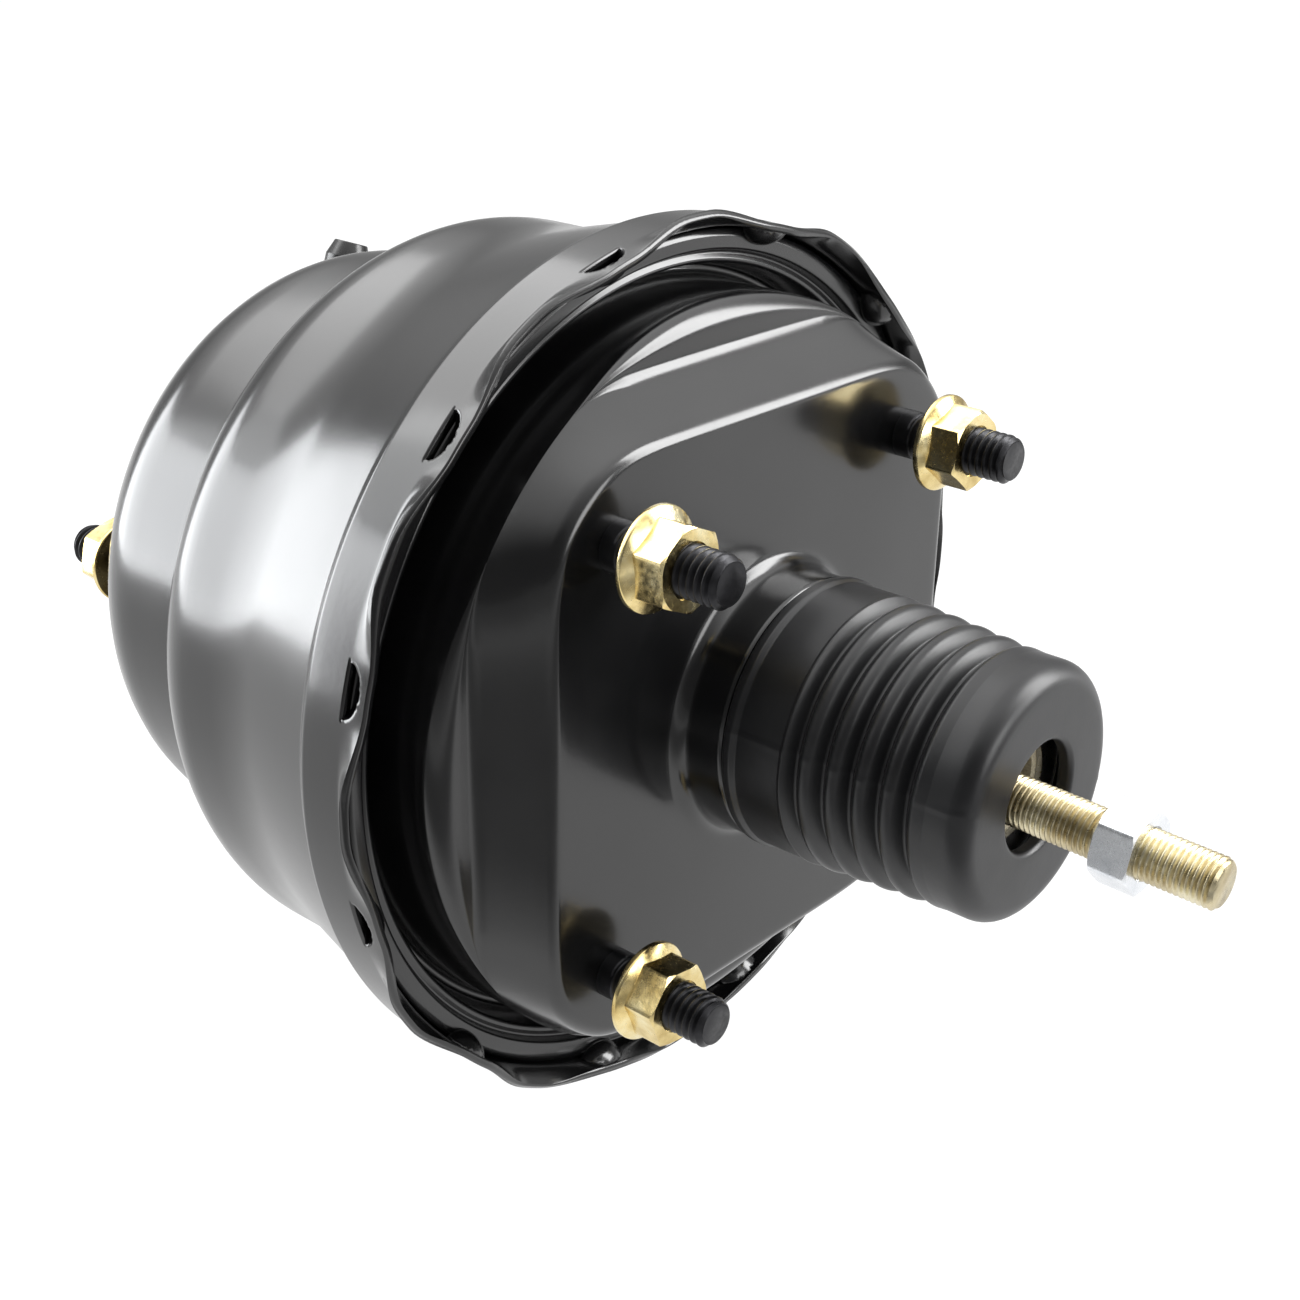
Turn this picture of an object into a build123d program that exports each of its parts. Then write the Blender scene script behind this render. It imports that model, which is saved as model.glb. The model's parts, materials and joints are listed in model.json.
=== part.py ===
from build123d import *
from math import hypot, radians, sqrt, tan
import os

# Tandem (two-diaphragm) vacuum brake booster with a 7-inch shell.
# Millimetres. The origin is the centre of the face that bolts to the firewall.
# +Y runs along the booster's axis towards the master cylinder, +Z is up and the
# pedal's pushrod comes out on the -Y side.

# ---------------------------------------------------------------- driving sizes
sheet = 1.6                     # pressed steel of both shells
stud_square = 85.725            # 3-3/8 in between firewall studs, both ways
stud_r = 4.76                   # 3/8-16 studs
stud_shoulder_r = 5.2           # shoulder pressed through the sheet and its brace
thread_pitch_r = 4.42           # where mating threads are drawn to meet
stud_chamfer = 0.9
stud_head_r = 7.5
stud_head_h = 2.6
running_gap = 0.05              # radial clearance of a sliding fit
seal_gap = 0.3                  # clearance between a seal's lip and what slides in it
seat_gap = 0.1                  # clearance between pieces laid against each other
stroke = 30.0                   # travel of the power piston
valve_stroke = 2.5              # travel of the air valve inside the piston

# radii that follow the clamping band
band_r = 87.9                   # outside of the clamping band
band_clearance = 0.6            # between the band and the rear shell's flange
flange_r = band_r - sheet - band_clearance
step_r = flange_r - 3.8
bead_r = step_r - 2.8           # bright bead beside the groove
recess_r = bead_r - 0.9         # outer wall of the groove around the dome
dome_r = recess_r - 2.6         # outside of the rear dome
platform_r = dome_r - 2.4       # circle that the platform's corners lie on
shelf_half = dome_r - 9.1       # where each sloping facet meets its shelf
platform_half = shelf_half - 8.0    # the square face that meets the firewall

# rear shell
platform_edge_r = 2.4
corner_blend_r = 7.0
shelf_y = 11.5                  # depth of the four chordal shelves
dome_shoulder_r = 5.5
recess_y = 33.0                 # bottom of the groove around the dome
bead_y = 24.3
step_y = 25.4
neck_r = 26.2                   # drawn tube that guides the piston's hub
neck_length = 10.8
neck_root_r = 3.4
neck_end_r = 23.9               # its reduced end, which the boot slips over
neck_end_length = 7.0

# front shell
band_y = 32.2                   # its front shoulder
band_rear_y = 24.4              # where the lip starts to flare
lip_r = band_r + 2.4            # the rim flares out between the lances
lip_y = 19.8
body_r = band_r - 8.2           # outside of the large chamber
body_y = 62.0                   # where the flare meets it
flare_r = band_r - 1.9
flare_y = 34.7
body_shoulder_y = 84.5
body_shoulder_r = 16.0
drum_r = body_r - 12.7          # outside of the small front chamber
crease_y = 93.6
front_y = 132.0                 # master-cylinder face
drum_corner_r = 20.0
cup_r = 19.5                    # pilot recess in the front face
cup_root_r = 1.2
cup_edge_r = 2.2
crease_bend_r = 3.0
flare_bend_r = 40.0
band_bend_r = 1.65
lip_bend_r = 6.0
cup_depth = 14.0
rod_hole_r = 7.0

# lances around the band: half-round dents whose free edge locks the rear shell's flange
lance_count = 12
lance_first_angle = 15.0
lance_y = 22.9                  # the slit along each dent's free edge
lance_half_width = 5.0
lance_depth = 3.2
lance_sheet = 1.2               # metal left where the dent is stretched
rim_flat_width = 24.0           # unflared stretch of the rim at each lance
rim_flat_y = 16.6
lip_scallop_r = 24.0

# pieces on the outside
nut_across_flats = 14.29        # 9/16 in
nut_height = 8.4
nut_flange_r = 9.6
nut_flange_h = 1.7
nut_seat_y = -8.0               # the nuts are run part of the way down
rear_stud_tip_y = -25.0
front_stud_length = 30.0
front_nut_standoff = 13.5
boot_start_y = -11.0
boot_end_y = -61.5
boot_wall = 2.2
boot_r = 26.4
boot_nose_r = 24.4
boot_hole_r = 10.5
boot_nose_corner_r = 9.5
boot_groove_count = 5
boot_first_groove_y = -26.0
boot_groove_pitch = 5.6
boot_groove_depth = 2.3
boot_groove_width = 2.6
boot_neck_stop_y = -18.5

# pedal pushrod, drooping on its ball
ball_y = 15.0
ball_r = 5.5
rod_r = 4.76                    # 3/8-24 thread
rod_end_y = -97.0
shank_r = 4.1
rod_thread_start_y = -50.0
rod_droop = 1.65                # degrees below the axis at rest
jam_nut_y = -75.5
jam_nut_h = 7.4
jam_nut_flats = 14.29
jam_nut_turn = 14.0
neck_shank_r = 3.2

# fixed inner pieces
divider_y = 56.0
divider_skirt_r = body_r - sheet - 0.4
divider_flange_y = 37.2
divider_flange_r = step_r + 1.0
divider_front_y = 77.5
rear_plate_brace = 3.0
front_plate_brace = 2.5
spring_r = 25.0
spring_wire_r = 1.7
spring_turns = 5

# power piston
hub_r = 19.0
hub_rear_y = -56.0
hub_front_y = 60.3              # shoulder that carries the front plate
hub_spigot_r = 16.5
hub_spigot_end_y = 70.0
hub_flange_r = 24.0             # shoulder that carries the rear plate
rear_bore_r = 15.0
seat_y = 2.0
seat_bore_r = 8.6
seat_lip_h = 1.2
plunger_bore_y = 14.0
plunger_r = 6.5
plunger_rear_y = -0.2
plunger_front_y = 37.0
socket_mouth_r = 4.9
reaction_y = 40.0
reaction_r = 14.0
reaction_h = 6.0
key_y = 27.6                    # key that holds the plunger in the hub
key_thickness = 2.0
key_width = 14.0
key_fork_z = 6.0                # how far its fork reaches past the axis
key_gap = 0.2
passage_r = 2.4
passage_offset = 11.8
passage_exit_y = 34.0
rear_plate_y = 11.8
rear_plate_r = dome_r - 14.4     # rim of the rear support plate
rear_plate_knee_r = hub_r + 8.0
front_plate_y = 62.3
front_plate_r = divider_skirt_r - 19.7
front_plate_knee_r = spring_r + 7.0
plate_sheet = 1.5
plate_rim = 4.0                 # straight length of a support plate's rim
plate_rise = 4.2                # height of its sloping shoulder
plate_dish = 1.6
plate_knee = 4.0
plate_bends = [2.0, 2.0, 3.0, 3.0]
rubber_bend_r = 0.6
rubber = 1.5
output_rod_r = 6.0
output_rod_end_y = 134.0
output_tip_r = 4.2
output_tip_y = 140.0
output_head_h = 6.0
poppet_r = 12.0
poppet_rear_y = -24.0
valve_spring_r = 8.8
valve_spring_wire_r = 0.8
valve_spring_rear_y = -38.0
valve_spring_turns = 4
silencer_rear_y = -54.5
silencer_front_y = -44.0
silencer_hole_r = 8.5

# vacuum check valve on the front face
valve_angle = 70.0
valve_offset = 38.0
valve_nipple_reach = 65.4
valve_barrel_r = 6.2
valve_flange_r = 9.6
valve_nipple_r = 4.4
valve_bead_r = 5.2              # hose bead near the nipple's end
valve_recess_r = 12.6           # shallow seat drawn into the face for the grommet
valve_recess_depth = 0.8
valve_bore_r = 2.6
grommet_r = 11.5
grommet_hole_r = 8.6
valve_seat_y = 6.0              # stations above the front face
valve_nipple_y = 11.5
valve_top_y = 17.0
valve_chamber_bore_r = 6.2


# ---------------------------------------------------------------- helpers
def fitted_bends(points, radii):
    """Bend radii, each limited so that its arc takes less than half of the sides it joins."""
    fitted = []
    count = len(points)
    for index, radius in enumerate(radii):
        here = Vector(*points[index])
        before = Vector(*points[index - 1]) - here
        after = Vector(*points[(index + 1) % count]) - here
        half_angle = radians(before.get_angle(after)) / 2
        longest = 0.48 * min(before.length, after.length) * tan(half_angle)
        fitted.append(min(radius, longest))
    return fitted


def turned(points, radii=None):
    """A solid of revolution about Y from (radius, station) corners."""
    radii = fitted_bends(points, radii) if radii else [0] * len(points)
    outline = FilletPolyline(*points, radius=radii, close=True)
    return revolve(make_face(outline), Axis.Y)


def tube(outer_r, inner_r, low_y, high_y):
    return turned([(inner_r, low_y), (outer_r, low_y), (outer_r, high_y), (inner_r, high_y)])


def rod_along_y(radius, low_y, high_y, chamfer_low=0, chamfer_high=0):
    """A round bar on the axis with chamfered ends."""
    points = [(0, low_y), (radius - chamfer_low, low_y)]
    if chamfer_low:
        points.append((radius, low_y + chamfer_low))
    if chamfer_high:
        points.append((radius, high_y - chamfer_high))
    points += [(radius - chamfer_high, high_y), (0, high_y)]
    return turned(points)


def side_normals(path):
    """Unit normals of a path's runs, pointing to the right of travel."""
    normals = []
    for (r0, y0), (r1, y1) in zip(path, path[1:]):
        length = hypot(r1 - r0, y1 - y0)
        normals.append(((y1 - y0) / length, (r0 - r1) / length))
    return normals


def shifted(path, distance):
    """The path moved to its right by a distance, each run staying parallel."""
    normals = side_normals(path)
    pairs = [(normals[0], normals[0])] + list(zip(normals, normals[1:])) + [(normals[-1], normals[-1])]
    moved = []
    for (r, y), (a, b) in zip(path, pairs):
        share = distance / (1 + a[0] * b[0] + a[1] * b[1])
        moved.append((r + share * (a[0] + b[0]), y + share * (a[1] + b[1])))
    return moved


def sheet_ring(path, bends, thickness):
    """Pressed sheet turned about Y: path is its outer skin, metal on the right of travel."""
    normals = side_normals(path)
    skin = shifted(path, thickness)
    skin_bends = []
    for bend, a, b in zip(bends, normals, normals[1:]):
        left_turn = a[0] * b[1] - a[1] * b[0] > 0
        side = 1 if left_turn else -1
        skin_bends.append(max(bend + side * thickness, 0) if bend else 0)
    points = list(path) + skin[::-1]
    radii = [0] + list(bends) + [0, 0] + skin_bends[::-1] + [0]
    return turned(points, radii)


def around(angle, radius=0.0, y=0.0):
    """Location at a clock angle from +X towards +Z, local X pointing outwards."""
    return Rot(0, -angle, 0) * Pos(radius, y, 0)


def save(shape, name):
    solids = shape.solids()
    piece = solids[0] if len(solids) == 1 else Compound(children=list(solids))
    export_step(piece, f"parts/{name}.step")


def coil(radius, wire_r, low_y, high_y, turns):
    """Helical spring along Y between two stations, with its wire inside them."""
    height = high_y - low_y - 2 * wire_r
    path = Helix(pitch=height / turns, height=height, radius=radius)
    wire = sweep(Plane(path @ 0, z_dir=path % 0) * Circle(wire_r), path=path, is_frenet=True)
    return Pos(0, low_y + wire_r, 0) * Rot(-90, 0, 0) * wire


# ---------------------------------------------------------------- rear shell
def platform_outline(half, radius, station, blend):
    """A square clipped by a circle, with its eight corners blended."""
    plane = Plane((0, station, 0), x_dir=(1, 0, 0), z_dir=(0, 1, 0))
    outline = Rectangle(2 * half, 2 * half) & Circle(radius)
    return plane * fillet(outline.vertices(), blend)


def dome_volume(inset):
    """The rear dome as a filled form, drawn in by inset for its inner side."""
    slope = (shelf_half - platform_half) / shelf_y
    facet_shift = inset * (hypot(1, slope) - slope)
    top_half = platform_half - facet_shift
    shelf_top = shelf_y + inset
    foot_half = top_half + slope * shelf_y
    wall_r = dome_r - inset
    blend = corner_blend_r - inset
    top = platform_outline(top_half, platform_r - inset, inset, blend)
    foot = platform_outline(foot_half, wall_r, shelf_top, blend)
    tower = loft([top, foot], ruled=True)
    rim = [edge for edge in tower.edges() if edge.bounding_box().max.Y < inset + 0.01]
    tower = fillet(rim, platform_edge_r - inset)
    tower += extrude(foot, recess_y - shelf_top, dir=(0, 1, 0))
    shelf = turned([(0, shelf_top), (wall_r, shelf_top), (wall_r, recess_y), (0, recess_y)],
                   [0, dome_shoulder_r - inset, 0, 0])
    return tower + shelf


def rear_shell():
    split_y = recess_y - 5
    rear_side = Pos(0, split_y - 100, 0) * Box(400, 200, 400)
    dome = (dome_volume(0) - dome_volume(sheet)) & rear_side
    flange_y = lance_y + seat_gap
    groove = sheet_ring([(flange_r, flange_y), (step_r, flange_y), (step_r - 0.6, step_y), (bead_r, bead_y),
                         (recess_r, recess_y), (dome_r, recess_y), (dome_r, split_y - 0.2)],
                        [0.6, 0.4, 0.8, 1.2, 1.2], sheet)
    neck_path = [(neck_r + neck_root_r + 2, 0), (neck_r, 0), (neck_r, -neck_length),
                 (neck_end_r, -neck_length), (neck_end_r, -neck_length - neck_end_length)]
    neck = sheet_ring(neck_path, [neck_root_r, 1.2, 0.4], sheet)
    shell = dome + groove
    shell -= rod_along_y(neck_r + neck_root_r + 1, -1, sheet + 1)
    shell += neck
    stud_hole = Cylinder(stud_shoulder_r, 12)
    for x, z in stud_places():
        shell -= Pos(x, 0, z) * Rot(90, 0, 0) * stud_hole
    return shell


def stud_places():
    half = stud_square / 2
    return [(x, z) for x in (-half, half) for z in (half, -half)]


def rear_brace():
    """Square plate that spreads the firewall studs' load inside the rear shell."""
    low_y = sheet + seat_gap / 2
    half = stud_square / 2 + 9
    plane = Plane((0, low_y, 0), x_dir=(1, 0, 0), z_dir=(0, 1, 0))
    outline = Rectangle(2 * half, 2 * half)
    outline = fillet(outline.vertices(), 9)
    outline -= Circle(neck_r + 5)
    for x, z in stud_places():
        outline -= Pos(x, -z) * Circle(stud_shoulder_r)
    return extrude(plane * outline, rear_plate_brace - seat_gap, dir=(0, 1, 0))


def stud(length, nut_start, brace):
    """Stud standing along +Y on a face at Y 0, with a pressed-in shoulder and a head behind the brace."""
    head_y = -sheet - brace
    nut_end = nut_start + nut_height
    return turned([(0, head_y - stud_head_h), (stud_head_r, head_y - stud_head_h), (stud_head_r, head_y),
                   (stud_shoulder_r, head_y), (stud_shoulder_r, 0), (stud_r, 0), (stud_r, nut_start),
                   (thread_pitch_r, nut_start), (thread_pitch_r, nut_end), (stud_r, nut_end),
                   (stud_r, length - stud_chamfer), (stud_r - stud_chamfer, length), (0, length)])


def rear_studs():
    one = Rot(180, 0, 0) * stud(-rear_stud_tip_y, -nut_seat_y, rear_plate_brace)
    return Compound(children=[Pos(x, 0, z) * one for x, z in stud_places()])


def flange_nut(seat_y, toward):
    """Hexagon nut with a washer flange; toward is the side of its seat its body lies on."""
    hexagon = extrude(RegularPolygon(nut_across_flats / 2, 6, major_radius=False), nut_height)
    corner_r = nut_across_flats / sqrt(3)
    crown = revolve(make_face(Polyline((0, 0), (nut_flange_r + 1, 0), (nut_flange_r + 1, nut_height - 2.2),
                                       (corner_r - 1.1, nut_height), (0, nut_height), close=True)
                              ).rotate(Axis.X, 90), Axis.Z)
    flange = revolve(make_face(Polyline((0, 0), (nut_flange_r, 0), (nut_flange_r, 0.8),
                                        (nut_across_flats / 2, nut_flange_h + 1.3), (0, nut_flange_h + 1.3),
                                        close=True)).rotate(Axis.X, 90), Axis.Z)
    nut = (hexagon & crown) + flange - Cylinder(thread_pitch_r, 3 * nut_height)
    return Pos(0, seat_y, 0) * Rot(-90 * toward, 0, 0) * nut


def rear_nuts():
    turns = (6, 22, -9, 14)
    nut = flange_nut(nut_seat_y, -1)
    return Compound(children=[Pos(x, 0, z) * Rot(0, turn, 0) * nut
                              for (x, z), turn in zip(stud_places(), turns)])


# ---------------------------------------------------------------- front shell
def lance_angles():
    return [lance_first_angle + index * 360 / lance_count for index in range(lance_count)]


def half_ball(radius):
    """The half of a ball that lies on the rim's side of a lance's slit."""
    return Sphere(radius) & Pos(0, -radius, 0) * Box(2 * radius, 2 * radius, 2 * radius)


def front_shell():
    path = [(rod_hole_r, front_y - cup_depth), (cup_r, front_y - cup_depth), (cup_r, front_y),
            (drum_r, front_y), (drum_r, crease_y), (body_r, body_shoulder_y), (body_r, body_y),
            (flare_r, flare_y), (band_r, band_y), (band_r, band_rear_y), (lip_r, lip_y)]
    bends = [cup_root_r, cup_edge_r, drum_corner_r, crease_bend_r, body_shoulder_r, flare_bend_r, band_bend_r,
             band_bend_r, lip_bend_r]
    shell = sheet_ring(path, bends, sheet)
    scallop = Rot(90, 0, 0) * Cylinder(lip_scallop_r, band_rear_y - lip_y + sheet)
    collar = tube(band_r, band_r - sheet, rim_flat_y, band_rear_y + sheet)
    rise = band_rear_y - rim_flat_y
    arc_r = ((rim_flat_width / 2) ** 2 + rise ** 2) / (2 * rise)
    arc = Rot(0, 90, 0) * Cylinder(arc_r, 4 * sheet)
    for angle in lance_angles():
        shell -= around(angle, band_r + lip_scallop_r, lip_y) * scallop
        shell += collar & around(angle, band_r - sheet, rim_flat_y + arc_r) * arc
    ball_rise = (lance_half_width ** 2 - lance_depth ** 2) / (2 * lance_depth)
    ball = ball_rise + lance_depth
    inside = rod_along_y(band_r - sheet / 4, rim_flat_y, band_y)
    dent = (half_ball(ball + lance_sheet) - half_ball(ball))
    for angle in lance_angles():
        place = around(angle, band_r + ball_rise, lance_y)
        shell -= place * half_ball(ball)
        shell += (place * dent) & inside
    for x in (-stud_square / 2, stud_square / 2):
        shell -= Pos(x, front_y, 0) * Rot(90, 0, 0) * Cylinder(stud_shoulder_r, 12)
    shell += at_valve(rod_along_y(valve_recess_r + sheet, -sheet, valve_recess_depth - sheet / 2))
    shell -= at_valve(rod_along_y(valve_recess_r, 0, sheet))
    return shell - at_valve(rod_along_y(grommet_hole_r, -2 * sheet, sheet))


def front_brace():
    """Ring that spreads the master-cylinder studs' load inside the front face."""
    inner_r = cup_r + sheet + 1.5
    outer_r = drum_r - drum_corner_r - 0.5
    high_y = front_y - sheet - seat_gap / 2
    ring = tube(outer_r, inner_r, high_y - front_plate_brace + seat_gap, high_y)
    for x in (-stud_square / 2, stud_square / 2):
        ring -= Pos(x, front_y, 0) * Rot(90, 0, 0) * Cylinder(stud_shoulder_r, 20)
    return ring - at_valve(rod_along_y(valve_recess_r + sheet + 1, -10, 10))


def front_studs():
    one = Pos(0, front_y, 0) * stud(front_stud_length, front_nut_standoff, front_plate_brace)
    return Compound(children=[Pos(x, 0, 0) * one for x in (-stud_square / 2, stud_square / 2)])


def front_nuts():
    nut = flange_nut(front_y + front_nut_standoff, 1)
    return Compound(children=[Pos(x, 0, 0) * Rot(0, turn, 0) * nut
                              for x, turn in ((-stud_square / 2, 12), (stud_square / 2, -20))])


# ---------------------------------------------------------------- fixed inner pieces
def rear_hub_seal():
    """Lip seal and guide in the drawn neck, which the piston's hub slides through."""
    outer_r = neck_r - sheet - seat_gap / 2
    lip_r = hub_r + seal_gap
    low_y = -neck_length + sheet + seat_gap
    return turned([(outer_r, low_y), (outer_r, -3), (outer_r - 2.5, -1), (lip_r + 1.4, -1), (lip_r, -3),
                   (lip_r + 0.8, -5), (lip_r + 0.8, low_y + 1.5), (lip_r, low_y)])


def divider():
    """Plate between the two chambers, with the skirt that holds both diaphragm beads."""
    skirt = tube(divider_skirt_r, divider_skirt_r - plate_sheet, divider_flange_y, divider_front_y)
    flange = tube(divider_flange_r, divider_skirt_r - 0.5, divider_flange_y, divider_flange_y + plate_sheet)
    web_y = divider_y + 2
    web_path = [(hub_r + 5, divider_y), (hub_r + 21, divider_y), (hub_r + 29, web_y),
                (divider_skirt_r - plate_sheet / 2, web_y)]
    web = sheet_ring(web_path, [4, 4], -plate_sheet)
    return skirt + flange + web


def divider_seal():
    """Rubber ring on the divider's inner edge, wiping the piston's hub."""
    lip_r = hub_r + seal_gap
    groove_r = hub_r + 5
    low_y = divider_y - 2.5
    high_y = divider_y + plate_sheet + 2.5
    ring = turned([(lip_r, low_y), (groove_r + 2.5, low_y), (groove_r + 2.5, high_y), (lip_r, high_y),
                   (lip_r + 1.2, divider_y + plate_sheet / 2)])
    return ring - tube(groove_r + 3, groove_r - seat_gap, divider_y - seat_gap / 2,
                       divider_y + plate_sheet + seat_gap / 2)


def front_seal():
    """Rubber cup seal in the bottom of the pilot recess, around the output rod."""
    bottom_y = front_y - cup_depth + seat_gap
    outer_r = cup_r - 1.0
    lip_r = output_rod_r + seal_gap
    return turned([(lip_r + 1.5, bottom_y), (outer_r - 1.5, bottom_y), (outer_r, bottom_y + 1.5),
                   (outer_r, bottom_y + 5), (outer_r - 2, bottom_y + 6),
                   (lip_r + 3, bottom_y + 4), (lip_r, bottom_y + 5.5), (lip_r, bottom_y + 2.5)])


def return_spring():
    low_y = front_plate_y + plate_sheet + seat_gap
    high_y = front_y - sheet - front_plate_brace - seat_gap
    return coil(spring_r, spring_wire_r, low_y, high_y, spring_turns)


# ---------------------------------------------------------------- boot
def boot():
    """Rubber concertina boot over the neck and the hub."""
    outer = [(neck_end_r + seat_gap, boot_start_y), (boot_r + 0.3, boot_start_y),
             (boot_r + 0.3, boot_start_y - 2),
             (boot_r - 0.2, boot_start_y - 2.8)]
    bends = [0, 0.8, 0.8, 0.4]
    for index in range(boot_groove_count):
        middle = boot_first_groove_y - index * boot_groove_pitch
        ridge_r = boot_r - (boot_r - boot_nose_r) * index / boot_groove_count
        floor_r = ridge_r - boot_groove_depth
        half = boot_groove_width / 2
        outer += [(ridge_r, middle + half), (floor_r, middle + half / 3), (floor_r, middle - half / 3),
                  (ridge_r - 0.3, middle - half)]
        bends += [0.7, 0.4, 0.4, 0.7]
    inner_r = boot_nose_r - boot_wall
    outer += [(boot_nose_r, boot_end_y), (boot_hole_r, boot_end_y), (boot_hole_r, boot_end_y + boot_wall),
              (inner_r, boot_end_y + boot_wall), (inner_r, boot_neck_stop_y),
              (neck_end_r + seat_gap, boot_neck_stop_y)]
    bends += [boot_nose_corner_r, 0.9, 0.9, boot_nose_corner_r - boot_wall, 0.5, 0.3]
    return turned(outer, bends)


# ---------------------------------------------------------------- power piston
def piston_hub():
    """Moulded valve body: the hub that carries both plates and houses the control valve."""
    bore_r = plunger_r + running_gap
    shoulder_y = rear_plate_y + plate_sheet + seat_gap
    hub = turned([(bore_r, plunger_bore_y), (bore_r, reaction_y), (reaction_r, reaction_y),
                  (reaction_r, hub_spigot_end_y), (hub_spigot_r, hub_spigot_end_y),
                  (hub_spigot_r, hub_front_y),
                  (hub_r, hub_front_y), (hub_r, shoulder_y + 6), (hub_flange_r, shoulder_y + 3),
                  (hub_flange_r, shoulder_y), (hub_r, shoulder_y), (hub_r, hub_rear_y),
                  (rear_bore_r, hub_rear_y), (rear_bore_r, seat_y), (seat_bore_r + 2.4, seat_y),
                  (seat_bore_r + 1.4, seat_y - seat_lip_h), (seat_bore_r + 0.6, seat_y - seat_lip_h),
                  (seat_bore_r, seat_y), (seat_bore_r, plunger_bore_y)])
    slot = Box(key_width + 2 * key_gap, key_thickness + 2 * key_gap, 2 * hub_r,
               align=(Align.CENTER, Align.CENTER, Align.MAX))
    hub -= Pos(0, key_y + key_thickness / 2, key_fork_z + key_gap) * slot
    for angle in (0, 180):
        low_y = seat_y - 1
        along = Rot(90, 0, 0) * Cylinder(passage_r, passage_exit_y - low_y)
        hub -= around(angle, passage_offset, (low_y + passage_exit_y) / 2) * along
        outlet = Rot(0, 90, 0) * Cylinder(passage_r, 12)
        hub -= around(angle, passage_offset + 6, passage_exit_y - passage_r) * outlet
    return hub


def plate_path(inner_r, seat_y, knee_r, rim_r):
    """Rear skin of a dished support plate, from its hub hole to its rim."""
    web_y = seat_y + plate_dish
    return [(inner_r, seat_y), (knee_r, seat_y), (knee_r + plate_knee, web_y), (rim_r - plate_rise, web_y),
            (rim_r, web_y + plate_rise), (rim_r, web_y + plate_rise + plate_rim)]


def rear_plate_path():
    return plate_path(hub_r + seat_gap, rear_plate_y, rear_plate_knee_r, rear_plate_r)


def front_plate_path():
    return plate_path(hub_spigot_r + seat_gap, front_plate_y, front_plate_knee_r, front_plate_r)


def rear_plate():
    return sheet_ring(rear_plate_path(), plate_bends, -plate_sheet)


def front_plate():
    return sheet_ring(front_plate_path(), plate_bends, -plate_sheet)


def diaphragm(path, roll_y, roll_end_r, bead):
    """Rolling diaphragm: it lies under its plate, turns up the rim and rolls out to a clamped bead."""
    rim_top = (path[-1][0], roll_y)
    skin = shifted(path[:-1] + [rim_top], rubber + seal_gap)
    skin.append((roll_end_r, roll_y))
    sheet_part = sheet_ring(skin, plate_bends + [rubber_bend_r], -rubber)
    inner_r, outer_r, low_y, high_y = bead
    outline = [(inner_r, low_y), (outer_r, low_y), (outer_r, high_y), (inner_r, high_y)]
    return sheet_part + turned(outline, [0.8, 0.8, 0.8, 0.8])


def rear_diaphragm():
    path = rear_plate_path()
    roll_y = recess_y + sheet + 0.5
    low_r = recess_r + sheet + 0.6
    bead = (low_r, divider_flange_r + 0.6, step_y + sheet + 0.8, divider_flange_y - 0.4)
    return diaphragm(path, roll_y, low_r + 1, bead)


def front_diaphragm():
    path = front_plate_path()
    low_y = divider_front_y + 0.2
    outer_r = divider_skirt_r - plate_sheet - 0.2
    bead = (outer_r - 4.5, outer_r, low_y, low_y + 5)
    return diaphragm(path, low_y + 1.7, outer_r - 3.5, bead)


def plate_retainer(shaft_r, outer_r, low_y):
    """Push-on ring that locks a plate and its diaphragm to the hub."""
    return tube(outer_r, shaft_r + seat_gap / 2, low_y, low_y + 1.4)


def rear_retainer():
    return plate_retainer(hub_r, hub_r + 3.6, rear_plate_y - seal_gap - rubber - 1.5)


def front_retainer():
    return plate_retainer(hub_spigot_r, hub_spigot_r + 3.4, front_plate_y + plate_sheet + seat_gap)


def reaction_disc():
    return turned([(0, reaction_y + 0.05), (reaction_r - 0.1, reaction_y + 0.05),
                   (reaction_r - 0.1, reaction_y + reaction_h),
                   (0, reaction_y + reaction_h)], [0, 0.5, 0.5, 0])


def output_rod():
    head_y = reaction_y + reaction_h + 0.1
    head_end_y = head_y + output_head_h
    bore_r = output_tip_r - 0.8
    return turned([(0, head_y), (reaction_r - 0.3, head_y), (reaction_r - 0.3, head_end_y - 1.5),
                   (reaction_r - 1.8, head_end_y), (output_rod_r + 2, head_end_y),
                   (output_rod_r, head_end_y + 3), (output_rod_r, output_rod_end_y - 0.8),
                   (output_rod_r - 0.8, output_rod_end_y), (bore_r, output_rod_end_y),
                   (bore_r, output_rod_end_y - 14), (0, output_rod_end_y - 14)])


def output_rod_retainer():
    low_y = reaction_y + reaction_h + output_head_h + 0.4
    return turned([(output_rod_r + 3, low_y), (reaction_r - 0.1, low_y + 1.2),
                   (reaction_r - 0.1, low_y + 2.2),
                   (output_rod_r + 3, low_y + 1)])


def output_rod_tip():
    """Adjusting screw in the end of the output rod, with a round nose."""
    shank_r = output_tip_r - 0.9
    low_y = output_rod_end_y - 10
    nose = turned([(0, low_y), (shank_r, low_y), (shank_r, output_rod_end_y + 2),
                   (output_tip_r, output_rod_end_y + 2),
                   (output_tip_r, output_tip_y), (0, output_tip_y)], [0, 0, 0, 0, 2.4, 0])
    hexagon = extrude(RegularPolygon(output_tip_r + 0.6, 6, major_radius=False), 3.5)
    return nose + Pos(0, output_rod_end_y + 0.2, 0) * Rot(-90, 0, 0) * hexagon


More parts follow.
